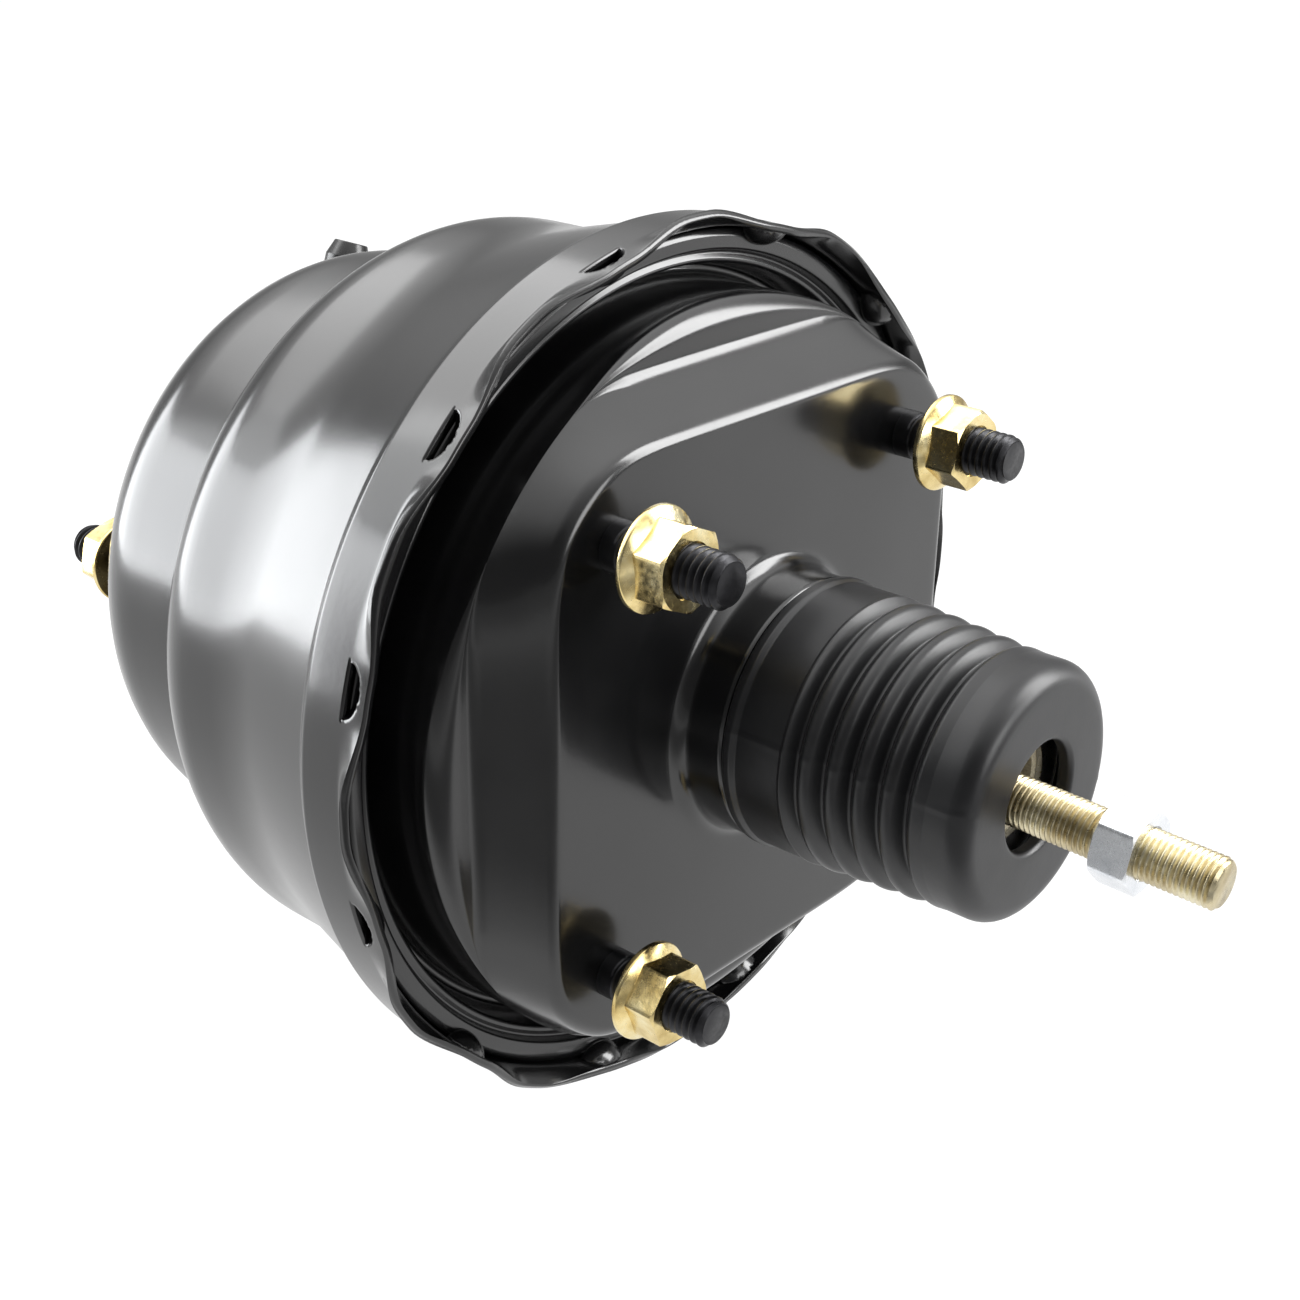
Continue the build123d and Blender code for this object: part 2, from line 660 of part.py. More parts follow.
def plunger_key():
    """Flat forked key that sits in the hub's slot and keeps the plunger in its bore."""
    fork_r = plunger_r - 1.6
    reach = hub_r - 0.5
    blank = Rectangle(key_width, 2 * reach) & Circle(reach)
    blank -= Pos(0, key_fork_z + reach) * Rectangle(key_width, 2 * reach)
    blank -= Pos(0, key_fork_z) * Rectangle(2 * fork_r, 2 * key_fork_z) + Circle(fork_r)
    plane = Plane((0, key_y, 0), x_dir=(1, 0, 0), z_dir=(0, -1, 0))
    return extrude(plane * blank, -key_thickness)


def control_valve():
    """Rubber poppet that seals on the hub's seat and on the plunger, with its bellows neck."""
    face_y = seat_y - seat_lip_h - seat_gap - 0.9
    return turned([(socket_mouth_r + 1.0, face_y), (poppet_r, face_y), (poppet_r, face_y - 3),
                   (poppet_r - 1.6, face_y - 4), (poppet_r - 2.2, face_y - 9),
                   (poppet_r + 0.6, face_y - 15),
                   (rear_bore_r - 0.2, poppet_rear_y + 3), (rear_bore_r - 0.2, poppet_rear_y),
                   (poppet_r, poppet_rear_y), (poppet_r - 0.8, face_y - 15), (poppet_r - 3.6, face_y - 9),
                   (poppet_r - 3.4, face_y - 3.4), (socket_mouth_r + 1.0, face_y - 3.4)])


def control_valve_spring():
    face_y = seat_y - seat_lip_h - seat_gap - 0.9 - 3.4
    return coil(poppet_r - 5.2, 0.5, poppet_rear_y + 6, face_y - 0.1, 4)


def control_valve_retainer():
    high_y = poppet_rear_y - seat_gap
    return turned([(valve_spring_r - 1.2, high_y - 2.2), (rear_bore_r - 0.1, high_y - 2.2),
                   (rear_bore_r - 0.1, high_y),
                   (poppet_r - 0.4, high_y), (valve_spring_r - 1.2, high_y - 1)])


def silencer():
    """Felt ring in the end of the hub that muffles and filters the air drawn in."""
    return tube(rear_bore_r - 0.2, silencer_hole_r, silencer_rear_y, silencer_front_y)


def silencer_retainer():
    return turned([(silencer_hole_r + 1.5, silencer_rear_y - 1.2),
                   (rear_bore_r - 0.1, silencer_rear_y - 1.2),
                   (rear_bore_r - 0.1, silencer_rear_y - 0.1),
                   (silencer_hole_r + 1.5, silencer_rear_y - 0.1)])


# ---------------------------------------------------------------- air valve and pushrod
def valve_plunger():
    """Air valve: the plunger whose rear rim is the air seat, with the ball's socket staked in it."""
    groove_low_y = key_y - valve_stroke - 0.3
    groove_high_y = key_y + key_thickness + 0.3
    groove_r = plunger_r - 2.0
    body = turned([(0, plunger_rear_y), (plunger_r + 0.9, plunger_rear_y),
                   (plunger_r + 0.9, plunger_rear_y + 1.2),
                   (plunger_r, plunger_rear_y + 3), (plunger_r, groove_low_y), (groove_r, groove_low_y),
                   (groove_r, groove_high_y), (plunger_r, groove_high_y),
                   (plunger_r, plunger_front_y - 0.6),
                   (plunger_r - 0.6, plunger_front_y), (0, plunger_front_y)])
    body -= Pos(0, ball_y, 0) * Sphere(ball_r + running_gap * 2)
    mouth = rod_along_y(socket_mouth_r, plunger_rear_y - 1, ball_y)
    return body - mouth


def drooped(shape):
    """Swings a piece of the pushrod about its ball to where it hangs at rest."""
    return Pos(0, ball_y, 0) * Rot(rod_droop, 0, 0) * Pos(0, -ball_y, 0) * shape


def pushrod():
    rod = turned([(0, rod_end_y), (rod_r - 0.9, rod_end_y), (rod_r, rod_end_y + 0.9),
                  (rod_r, jam_nut_y - jam_nut_h), (thread_pitch_r, jam_nut_y - jam_nut_h),
                  (thread_pitch_r, jam_nut_y), (rod_r, jam_nut_y), (rod_r, rod_thread_start_y - 0.7),
                  (shank_r, rod_thread_start_y), (shank_r, ball_y - 14), (neck_shank_r, ball_y - 12),
                  (neck_shank_r, ball_y), (0, ball_y)])
    return drooped(rod + Pos(0, ball_y, 0) * Sphere(ball_r))


def jam_nut():
    hexagon = extrude(RegularPolygon(jam_nut_flats / 2, 6, major_radius=False), jam_nut_h)
    corner_r = jam_nut_flats / sqrt(3)
    edge = 1.5
    crown = turned([(0, 0), (corner_r - edge, 0), (corner_r, edge * 0.6),
                    (corner_r, jam_nut_h - edge * 0.6),
                    (corner_r - edge, jam_nut_h), (0, jam_nut_h)])
    nut = (Rot(-90, 0, 0) * hexagon) & crown
    nut -= rod_along_y(thread_pitch_r, -1, jam_nut_h + 1)
    return drooped(Pos(0, jam_nut_y - jam_nut_h, 0) * Rot(0, jam_nut_turn, 0) * nut)


def valve_return_spring():
    low_y = valve_spring_rear_y + 0.5
    high_y = poppet_rear_y - seat_gap - 2.2 - seat_gap
    return coil(valve_spring_r, valve_spring_wire_r, low_y, high_y, valve_spring_turns)


def spring_seat():
    """Cupped washer on the pushrod that the valve's return spring pushes back."""
    low_y = valve_spring_rear_y - 1.4
    return drooped(turned([(shank_r + 0.1, low_y), (valve_spring_r + 1.4, low_y),
                           (valve_spring_r + 1.4, low_y + 1.2),
                           (shank_r + 0.1, low_y + 1.2)]))


# ---------------------------------------------------------------- vacuum check valve
def at_valve(shape):
    """Puts a piece built about the Y axis on the check valve's axis, with +X pointing outwards."""
    return around(valve_angle, valve_offset, front_y - valve_recess_depth) * shape


def valve_grommet():
    waist_r = grommet_hole_r - seat_gap / 2
    bore_r = valve_barrel_r + running_gap
    return at_valve(turned([(bore_r, -sheet - 3.4), (waist_r, -sheet - 3.4), (grommet_r - 2, -sheet - 2.6),
                            (grommet_r - 2, -sheet - seat_gap), (waist_r, -sheet - seat_gap),
                            (waist_r, seat_gap),
                            (grommet_r, seat_gap), (grommet_r, 1.6), (grommet_r - 1, 2.6), (bore_r, 2.6)]))


def valve_body():
    """Plastic check-valve housing: stem through the grommet, poppet chamber and hose nipple."""
    chamber_r = valve_flange_r - 1.4
    body = turned([(valve_bore_r, -9), (valve_barrel_r - 0.8, -9), (valve_barrel_r, -7.5),
                   (valve_barrel_r, 2.7),
                   (valve_flange_r, 2.7), (valve_flange_r, 4.7), (chamber_r, 4.7), (chamber_r, valve_top_y),
                   (chamber_r - 1.5, valve_top_y + 1.5), (0, valve_top_y + 1.5), (0, valve_top_y - 0.6),
                   (valve_chamber_bore_r, valve_top_y - 0.6), (valve_chamber_bore_r, valve_seat_y),
                   (valve_bore_r, valve_seat_y)])
    reach = valve_nipple_reach - valve_offset
    nipple = Rot(0, 0, -90) * turned([(0, valve_chamber_bore_r + 0.6),
                                      (valve_nipple_r + 0.6, valve_chamber_bore_r + 0.6),
                                      (valve_nipple_r, 11), (valve_nipple_r, reach - 9),
                                      (valve_bead_r, reach - 7.5),
                                      (valve_bead_r, reach - 3.5), (valve_nipple_r - 0.6, reach),
                                      (0, reach)])
    body += Pos(0, valve_nipple_y, 0) * nipple
    passage = Rot(0, 90, 0) * Cylinder(valve_bore_r, reach, align=(Align.CENTER, Align.CENTER, Align.MIN))
    return at_valve(body - Pos(0, valve_nipple_y, 0) * passage)


def valve_poppet():
    low_y = valve_seat_y + 0.1
    return at_valve(turned([(0, low_y), (valve_chamber_bore_r - 0.5, low_y),
                            (valve_chamber_bore_r - 0.5, low_y + 1.3),
                            (1.4, low_y + 1.6), (1.4, low_y + 4.5), (0, low_y + 4.5)]))


def valve_spring():
    return at_valve(coil(3.4, 0.35, valve_seat_y + 2.0, valve_top_y - 0.8, 3))


def main():
    """Writes every piece to its own file."""
    pieces = {
        "rear_shell": rear_shell,
        "rear_brace_plate": rear_brace,
        "firewall_studs": rear_studs,
        "firewall_nuts": rear_nuts,
        "front_shell": front_shell,
        "front_brace_ring": front_brace,
        "master_cylinder_studs": front_studs,
        "master_cylinder_nuts": front_nuts,
        "rear_hub_seal": rear_hub_seal,
        "center_divider": divider,
        "divider_seal": divider_seal,
        "front_rod_seal": front_seal,
        "return_spring": return_spring,
        "dust_boot": boot,
        "piston_hub": piston_hub,
        "rear_support_plate": rear_plate,
        "front_support_plate": front_plate,
        "rear_diaphragm": rear_diaphragm,
        "front_diaphragm": front_diaphragm,
        "rear_plate_retainer": rear_retainer,
        "front_plate_retainer": front_retainer,
        "reaction_disc": reaction_disc,
        "output_rod": output_rod,
        "output_rod_retainer": output_rod_retainer,
        "output_rod_tip": output_rod_tip,
        "plunger_key": plunger_key,
        "control_valve": control_valve,
        "control_valve_spring": control_valve_spring,
        "control_valve_retainer": control_valve_retainer,
        "air_silencer": silencer,
        "silencer_retainer": silencer_retainer,
        "valve_plunger": valve_plunger,
        "valve_return_spring": valve_return_spring,
        "pushrod": pushrod,
        "jam_nut": jam_nut,
        "spring_seat": spring_seat,
        "check_valve_grommet": valve_grommet,
        "check_valve_body": valve_body,
        "check_valve_poppet": valve_poppet,
        "check_valve_spring": valve_spring,
    }
    os.makedirs("parts", exist_ok=True)
    for name, make in pieces.items():
        save(make(), name)


if __name__ == "__main__":
    main()
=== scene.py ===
"""Gloss-black tandem brake booster: dressed meshes, finishes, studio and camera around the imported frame."""
import json
import math

import bmesh
import bpy
from mathutils import Matrix, Vector

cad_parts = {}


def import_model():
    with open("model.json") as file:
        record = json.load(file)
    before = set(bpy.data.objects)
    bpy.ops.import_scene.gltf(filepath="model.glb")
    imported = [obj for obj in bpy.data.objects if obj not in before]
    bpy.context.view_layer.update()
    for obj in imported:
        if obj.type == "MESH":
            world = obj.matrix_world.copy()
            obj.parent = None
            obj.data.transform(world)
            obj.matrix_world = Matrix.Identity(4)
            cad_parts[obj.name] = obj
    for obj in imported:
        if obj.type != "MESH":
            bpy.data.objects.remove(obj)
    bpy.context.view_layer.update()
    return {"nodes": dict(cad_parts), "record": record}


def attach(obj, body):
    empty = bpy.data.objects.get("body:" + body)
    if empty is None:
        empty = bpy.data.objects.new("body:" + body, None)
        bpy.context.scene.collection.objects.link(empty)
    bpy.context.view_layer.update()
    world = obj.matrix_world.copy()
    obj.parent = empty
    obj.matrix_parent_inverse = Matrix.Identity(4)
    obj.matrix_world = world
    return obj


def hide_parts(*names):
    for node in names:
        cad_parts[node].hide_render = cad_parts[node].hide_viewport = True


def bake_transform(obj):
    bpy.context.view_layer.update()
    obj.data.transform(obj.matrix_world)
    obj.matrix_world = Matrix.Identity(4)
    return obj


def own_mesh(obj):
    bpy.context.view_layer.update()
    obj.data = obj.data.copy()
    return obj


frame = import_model()
nodes = frame["nodes"]

MM = 0.001

# ---------------------------------------------------------------- sizes, in millimetres
SHEET = 1.6
INSIDE = (0, 60, 0)  # a point in the hollow that both shells close

STUD_HALF = 85.725 / 2
STUD_R = 4.76
STUD_PITCH = 25.4 / 16
ROD_PITCH = 25.4 / 24
THREAD_DEPTH = 0.61  # of the pitch
NUT_FLATS = 14.29
NUT_HEIGHT = 8.4
NUT_FLANGE_R = 9.6
FIREWALL_STUD_END = -25.0
FIREWALL_NUT_Y = -8.0

NECK_R = 26.2
NECK_ROOT_R = 3.4
NECK_LIP_R = 23.9
NECK_STEP_Y = -10.8
NECK_END_Y = -17.8
PLATFORM_HALF = 58.5
PLATFORM_R = 73.2
PLATFORM_BLEND = 5.0
SHELF_Y = 11.5
SHELF_HALF = 66.5
SHELF_BLEND = 4.2
DOME_R = 75.6
RECESS_Y = 33.0
RECESS_R = 78.2
BEAD_Y = 24.3
BEAD_R = (79.1, 81.3)
FLANGE_Y = 23.0
FLANGE_R = (81.9, 85.7)

BAND_R = 87.9
BAND_TOP_Y = 32.2
BAND_LOW_Y = 24.4
RIM_VALLEY = (87.8, 17.6)
RIM_LOBE = (90.2, 19.7)
LANCE_COUNT = 12
LANCE_FIRST_DEG = 15.0
LANCE_FINE_HALF_DEG = 5.0
LANCE_Y = 22.9
LANCE_HALF_WIDTH = 5.0
LANCE_LENGTH = 3.4
LANCE_DEPTH = 3.2

FRONT_Y = 132.0
ROD_HOLE_R = 7.0
PILOT_R = 19.5
PILOT_DEPTH = 14.0
DRUM_R = 67.0
CREASE_Y = 93.6
BODY_R = 79.7
BODY_Y = (62.0, 84.5)
FLARE_R = 86.0
FLARE_Y = 34.7
FRONT_STUD_END = FRONT_Y + 30
FRONT_NUT_Y = FRONT_Y + 13.5

VALVE_DEG = 70.0
VALVE_RADIUS = 38.0
VALVE_SEAT_DEPTH = 0.8
VALVE_REACH = 65.4 - VALVE_RADIUS

ROD_END = -97.0
ROD_THREAD_START = -50.0
ROD_DROOP_DEG = 1.65
BALL_Y = 15.0
JAM_NUT_FACE_Y = -75.5
JAM_NUT_HEIGHT = 7.4

BOOT_START = -11.0
BOOT_END = -61.5
BOOT_BORE_R = 24.0
BOOT_BORE_END = -18.5
BOOT_COLLAR_R = 26.75
BOOT_BARREL_R = 26.15
BOOT_BARREL_END = -23.6
BOOT_R = 26.4
BOOT_NOSE_R = 24.4
BOOT_WALL = 3.2
BOOT_HOLE_R = 10.5
GROOVE_COUNT = 5
GROOVE_FIRST = -26.0
GROOVE_PITCH = 5.6
GROOVE_DEPTH = 3.1
RIDGE_HALF = 1.9
RIDGE_TAPER = 0.38

RUBBER_WALL = 1.4


# ---------------------------------------------------------------- mesh helpers
def build(name, vertices, faces, body, material, replaced, sharp_deg=38.0):
    """Makes a smooth-shaded piece from millimetre coordinates; it rides on its body, unless that is None."""
    mesh = bpy.data.meshes.new(name)
    mesh.from_pydata([(x * MM, y * MM, z * MM) for x, y, z in vertices], [], faces)
    mesh.validate()
    clean_mesh(mesh)
    mesh.shade_smooth()
    mesh.set_sharp_from_angle(angle=math.radians(sharp_deg))
    piece = bpy.data.objects.new(name, mesh)
    bpy.context.scene.collection.objects.link(piece)
    mesh.materials.append(material)
    if body:
        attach(piece, body)
    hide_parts(*replaced)
    return piece


def clean_mesh(mesh, distance=2e-6):
    """Joins doubled vertices, drops flat faces and turns every face outwards."""
    work = bmesh.new()
    work.from_mesh(mesh)
    bmesh.ops.remove_doubles(work, verts=work.verts, dist=distance)
    bmesh.ops.dissolve_degenerate(work, edges=work.edges, dist=distance)
    bmesh.ops.recalc_face_normals(work, faces=work.faces)
    work.to_mesh(mesh)
    work.free()


def rounded(points, radii, steps=8):
    """Polyline with each inner corner turned into an arc of steps + 1 points."""
    result = [tuple(points[0])]
    for index in range(1, len(points) - 1):
        corner = Vector(points[index])
        before = Vector(points[index - 1]) - corner
        after = Vector(points[index + 1]) - corner
        if not radii[index - 1] or min(before.length, after.length) <= 1e-6:
            result += [tuple(corner)] * (steps + 1)
            continue
        half = before.angle(after) / 2
        reach = min(radii[index - 1] / max(math.tan(half), 1e-3), 0.49 * before.length, 0.49 * after.length)
        start = corner + before.normalized() * reach
        end = corner + after.normalized() * reach
        for step in range(steps + 1):
            t = step / steps
            low, middle, high = (1 - t) ** 2, 2 * t * (1 - t) * math.sin(half), t ** 2
            result.append(tuple((start * low + corner * middle + end * high) / (low + middle + high)))
    result.append(tuple(points[-1]))
    return result


def steps_per_run(lengths, longest):
    return [max(1, math.ceil(length / longest)) for length in lengths]


def split_runs(path, counts):
    """Splits each run of a path evenly into its own number of steps."""
    result = [path[0]]
    for (a, b), count in zip(zip(path, path[1:]), counts):
        for step in range(1, count + 1):
            t = step / count
            result.append((a[0] + (b[0] - a[0]) * t, a[1] + (b[1] - a[1]) * t))
    return result


def resampled(path, longest):
    """Adds points so that no run of the path is longer than a limit."""
    lengths = [math.dist(a, b) for a, b in zip(path, path[1:])]
    return split_runs(path, steps_per_run(lengths, longest))


def ring_faces(rows, count, skip_row=None):
    """Quads between successive rings of count points each, with a gap after the skipped row."""
    faces = []
    for i in range(rows - 1):
        if i == skip_row:
            continue
        for j in range(count):
            k = (j + 1) % count
            faces.append((i * count + j, i * count + k, (i + 1) * count + k, (i + 1) * count + j))
    return faces


def lathe(name, profile, body, material, replaced, count=96, close=True, shape=None, sharp_deg=38.0,
          place=None):
    """Turns a (radius, station) profile about Y; shape may move a point, place carries it to its spot."""
    loop = list(profile) + ([profile[0]] if close else [])
    vertices = []
    for r, y in loop:
        for j in range(count):
            angle = 2 * math.pi * j / count
            rr, yy = shape(r, y, angle) if shape else (r, y)
            point = (rr * math.cos(angle), yy, rr * math.sin(angle))
            vertices.append(place @ Vector(point) if place else point)
    return build(name, vertices, ring_faces(len(loop), count), body, material, replaced, sharp_deg)


def valve_place():
    """The check valve's seat on the front face: local X points outwards, local Y along the booster."""
    turn = Matrix.Rotation(math.radians(-VALVE_DEG), 4, "Y")
    return turn @ Matrix.Translation((VALVE_RADIUS, FRONT_Y - VALVE_SEAT_DEPTH, 0))


def smoothstep(low, high, value):
    """0 below the low value, 1 above the high one, with a smooth rise between."""
    t = min(max((value - low) / (high - low), 0.0), 1.0)
    return t * t * (3 - 2 * t)


# ---------------------------------------------------------------- material helpers
def material(name):
    made = bpy.data.materials.new(name)
    made.use_nodes = True
    tree = made.node_tree
    shader = tree.nodes["Principled BSDF"]
    return made, tree, shader


def noise(tree, scale, detail=3.0, roughness=0.55, stretch=(1, 1, 1)):
    """Object-space noise; scale is in features per metre."""
    place = tree.nodes.new("ShaderNodeTexCoord")
    mapping = tree.nodes.new("ShaderNodeMapping")
    mapping.inputs["Scale"].default_value = stretch
    texture = tree.nodes.new("ShaderNodeTexNoise")
    texture.inputs["Scale"].default_value = scale
    texture.inputs["Detail"].default_value = detail
    texture.inputs["Roughness"].default_value = roughness
    tree.links.new(place.outputs["Object"], mapping.inputs["Vector"])
    tree.links.new(mapping.outputs["Vector"], texture.inputs["Vector"])
    return texture.outputs["Fac"]


def ramp(tree, source, stops):
    """Colour ramp: stops are (position, colour) pairs."""
    node = tree.nodes.new("ShaderNodeValToRGB")
    elements = node.color_ramp.elements
    while len(elements) < len(stops):
        elements.new(0.5)
    for element, (position, colour) in zip(elements, stops):
        element.position = position
        element.color = (*colour, 1)
    tree.links.new(source, node.inputs["Fac"])
    return node.outputs["Color"]


def greys(*stops):
    """Ramp stops from (position, brightness) pairs."""
    return [(position, (level,) * 3) for position, level in stops]


def span(tree, source, low, high, out_low, out_high):
    """Maps a value range onto another."""
    node = tree.nodes.new("ShaderNodeMapRange")
    node.inputs["From Min"].default_value = low
    node.inputs["From Max"].default_value = high
    node.inputs["To Min"].default_value = out_low
    node.inputs["To Max"].default_value = out_high
    tree.links.new(source, node.inputs["Value"])
    return node.outputs["Result"]


def feed(tree, socket, value):
    """Joins another node's output to a socket, or sets the socket to a plain value."""
    if isinstance(value, bpy.types.NodeSocket):
        tree.links.new(value, socket)
    else:
        socket.default_value = value


def math_node(tree, operation, first, second):
    node = tree.nodes.new("ShaderNodeMath")
    node.operation = operation
    feed(tree, node.inputs[0], first)
    feed(tree, node.inputs[1], second)
    return node.outputs["Value"]


def along(tree, vector, direction):
    """How far a vector reaches along a fixed direction."""
    node = tree.nodes.new("ShaderNodeVectorMath")
    node.operation = "DOT_PRODUCT"
    feed(tree, node.inputs[0], vector)
    feed(tree, node.inputs[1], direction)
    return node.outputs["Value"]


def mix_colour(tree, factor, first, second):
    node = tree.nodes.new("ShaderNodeMix")
    node.data_type = "RGBA"
    for name, value in (("Factor", factor), ("A", first), ("B", second)):
        feed(tree, node.inputs[name], value)
    return node.outputs["Result"]


def mix_shader(tree, factor, first, second):
    node = tree.nodes.new("ShaderNodeMixShader")
    for index, value in enumerate((factor, first, second)):
        feed(tree, node.inputs[index], value)
    return node.outputs["Shader"]


def bump(tree, shader, layers):
    """Stacks bump layers of (height source, strength, distance in metres)."""
    previous = None
    for source, strength, distance in layers:
        node = tree.nodes.new("ShaderNodeBump")
        node.inputs["Strength"].default_value = strength
        node.inputs["Distance"].default_value = distance
        tree.links.new(source, node.inputs["Height"])
        if previous:
            tree.links.new(previous, node.inputs["Normal"])
        previous = node.outputs["Normal"]
    tree.links.new(previous, shader.inputs["Normal"])


def gloss_paint():
    """Black paint under a thin clear coat, with slow waves, orange peel and dust specks."""
    made, tree, shader = material("gloss_black_paint")
    broad = noise(tree, scale=38, detail=2)
    waves = noise(tree, scale=55, detail=1)
    peel = noise(tree, scale=620, detail=2)
    specks = noise(tree, scale=2600, detail=2)
    base = ramp(tree, broad, [(0.35, (0.0035, 0.0035, 0.0038)), (0.7, (0.0065, 0.0065, 0.0067))])
    tree.links.new(base, shader.inputs["Base Color"])
    tree.links.new(span(tree, broad, 0.3, 0.75, 0.18, 0.26), shader.inputs["Roughness"])
    shader.inputs["IOR"].default_value = 1.52
    shader.inputs["Coat Weight"].default_value = 0.3
    shader.inputs["Coat Roughness"].default_value = 0.12
    bump(tree, shader, [(waves, 0.2, 0.0003), (peel, 0.16, 0.00006), (specks, 0.06, 0.00002)])
    return made


def zinc(name, dark, mid, bright, roughness):
    """Passivated zinc plate: the film's colour drifts and the grain breaks the shine."""
    made, tree, shader = material(name)
    drift = noise(tree, scale=130, detail=3)
    fine = noise(tree, scale=900, detail=3)
    colour = ramp(tree, drift, [(0.3, dark), (0.5, mid), (0.72, bright)])
    tree.links.new(colour, shader.inputs["Base Color"])
    shader.inputs["Metallic"].default_value = 1.0
    tree.links.new(span(tree, fine, 0.3, 0.7, roughness - 0.07, roughness + 0.1), shader.inputs["Roughness"])
    bump(tree, shader, [(fine, 0.25, 0.00003)])
    return made


def steel(name, colour, roughness, metallic=1.0, spread=0.2):
    """Bare or blacked metal, its colour darker in patches by the spread."""
    made, tree, shader = material(name)
    drift = noise(tree, scale=240, detail=3)
    low = tuple(value * (1 - spread) for value in colour)
    tree.links.new(ramp(tree, drift, [(0.3, low), (0.7, colour)]), shader.inputs["Base Color"])
    shader.inputs["Metallic"].default_value = metallic
    fine = noise(tree, scale=1500, detail=2)
    tree.links.new(span(tree, fine, 0.3, 0.7, roughness - 0.06, roughness + 0.08), shader.inputs["Roughness"])
    bump(tree, shader, [(fine, 0.2, 0.00003)])
    return made


def rubber(name, dark, pale, roughness, sheen=0.12):
    """Moulded rubber with a faint pale bloom and fine pores."""
    made, tree, shader = material(name)
    bloom = noise(tree, scale=60, detail=4)
    waves = noise(tree, scale=160, detail=2)
    pores = noise(tree, scale=1900, detail=2)
    tree.links.new(ramp(tree, bloom, [(0.35, dark), (0.72, pale)]), shader.inputs["Base Color"])
    dull = span(tree, bloom, 0.3, 0.7, roughness - 0.05, roughness + 0.07)
    tree.links.new(dull, shader.inputs["Roughness"])
    shader.inputs["Sheen Weight"].default_value = sheen
    shader.inputs["Sheen Roughness"].default_value = 0.5
    bump(tree, shader, [(waves, 0.12, 0.0003), (pores, 0.2, 0.00004)])
    return made


def plastic(name, colour, roughness):
    """Moulded plastic with a fine grain."""
    made, tree, shader = material(name)
    drift = noise(tree, scale=90, detail=3)
    grain = noise(tree, scale=1300, detail=2)
    lighter = tuple(value * 1.5 for value in colour)
    tree.links.new(ramp(tree, drift, [(0.3, colour), (0.75, lighter)]), shader.inputs["Base Color"])
    dull = span(tree, grain, 0.3, 0.7, roughness - 0.04, roughness + 0.06)
    tree.links.new(dull, shader.inputs["Roughness"])
    bump(tree, shader, [(grain, 0.15, 0.00004)])
    return made


def felt():
    """Pale pressed fibres."""
    made, tree, shader = material("silencer_felt")
    fibres = noise(tree, scale=2200, detail=4, roughness=0.7, stretch=(1, 0.35, 1))
    colour = ramp(tree, fibres, [(0.3, (0.36, 0.31, 0.21)), (0.6, (0.66, 0.60, 0.45)),
                                 (0.8, (0.8, 0.76, 0.62))])
    tree.links.new(colour, shader.inputs["Base Color"])
    shader.inputs["Roughness"].default_value = 0.95
    bump(tree, shader, [(fibres, 0.8, 0.0003)])
    return made


PAINT = gloss_paint()
YELLOW = zinc("yellow_zinc", (0.50, 0.36, 0.13), (0.80, 0.64, 0.30), (0.95, 0.86, 0.55), 0.2)
ROD_ZINC = zinc("yellow_zinc_rod", (0.40, 0.33, 0.19), (0.62, 0.54, 0.35), (0.78, 0.72, 0.52), 0.3)
WHITE = zinc("bright_zinc", (0.72, 0.75, 0.79), (0.86, 0.88, 0.91), (0.93, 0.95, 0.97), 0.24)
BLACK_STEEL = steel("black_oxide", (0.030, 0.030, 0.033), 0.34, metallic=0.75, spread=0.35)
BARE_STEEL = steel("bare_steel", (0.50, 0.50, 0.50), 0.32)
ALUMINIUM = steel("cast_aluminium", (0.68, 0.68, 0.69), 0.36, spread=0.12)
BOOT = rubber("boot_rubber", (0.005, 0.005, 0.006), (0.011, 0.011, 0.012), 0.36, sheen=0.02)
SEAL = rubber("seal_rubber", (0.012, 0.012, 0.012), (0.022, 0.022, 0.022), 0.5)
HUB = plastic("hub_plastic", (0.045, 0.045, 0.05), 0.42)
VALVE = plastic("valve_plastic", (0.012, 0.012, 0.012), 0.25)
FELT = felt()

SLOT_MATERIAL = {
    "black_paint": PAINT, "yellow_zinc": YELLOW, "black_steel": BLACK_STEEL, "bright_zinc": WHITE,
    "bare_steel": BARE_STEEL, "boot_rubber": BOOT, "seal_rubber": SEAL, "hub_plastic": HUB,
    "valve_plastic": VALVE, "aluminium": ALUMINIUM, "felt": FELT,
}


def dress_nodes():
    """Gives every CAD node the finish of its record slot."""
    slot_of = {entry["node"]: entry["material_slot"] for entry in frame["record"]["subparts"]}
    for name, node in nodes.items():
        node.data.materials.clear()
        node.data.materials.append(SLOT_MATERIAL[slot_of[name]])


# ---------------------------------------------------------------- rear shell
def clipped_square(half, radius, blend, angle):
    """Distance from the axis to a square clipped by a circle, its corners softly blended."""
    power = 2.2 * radius / blend
    sides = [abs(math.cos(angle)) / half, abs(math.sin(angle)) / half, 1 / radius]
    return sum(side ** power for side in sides) ** (-1 / power)


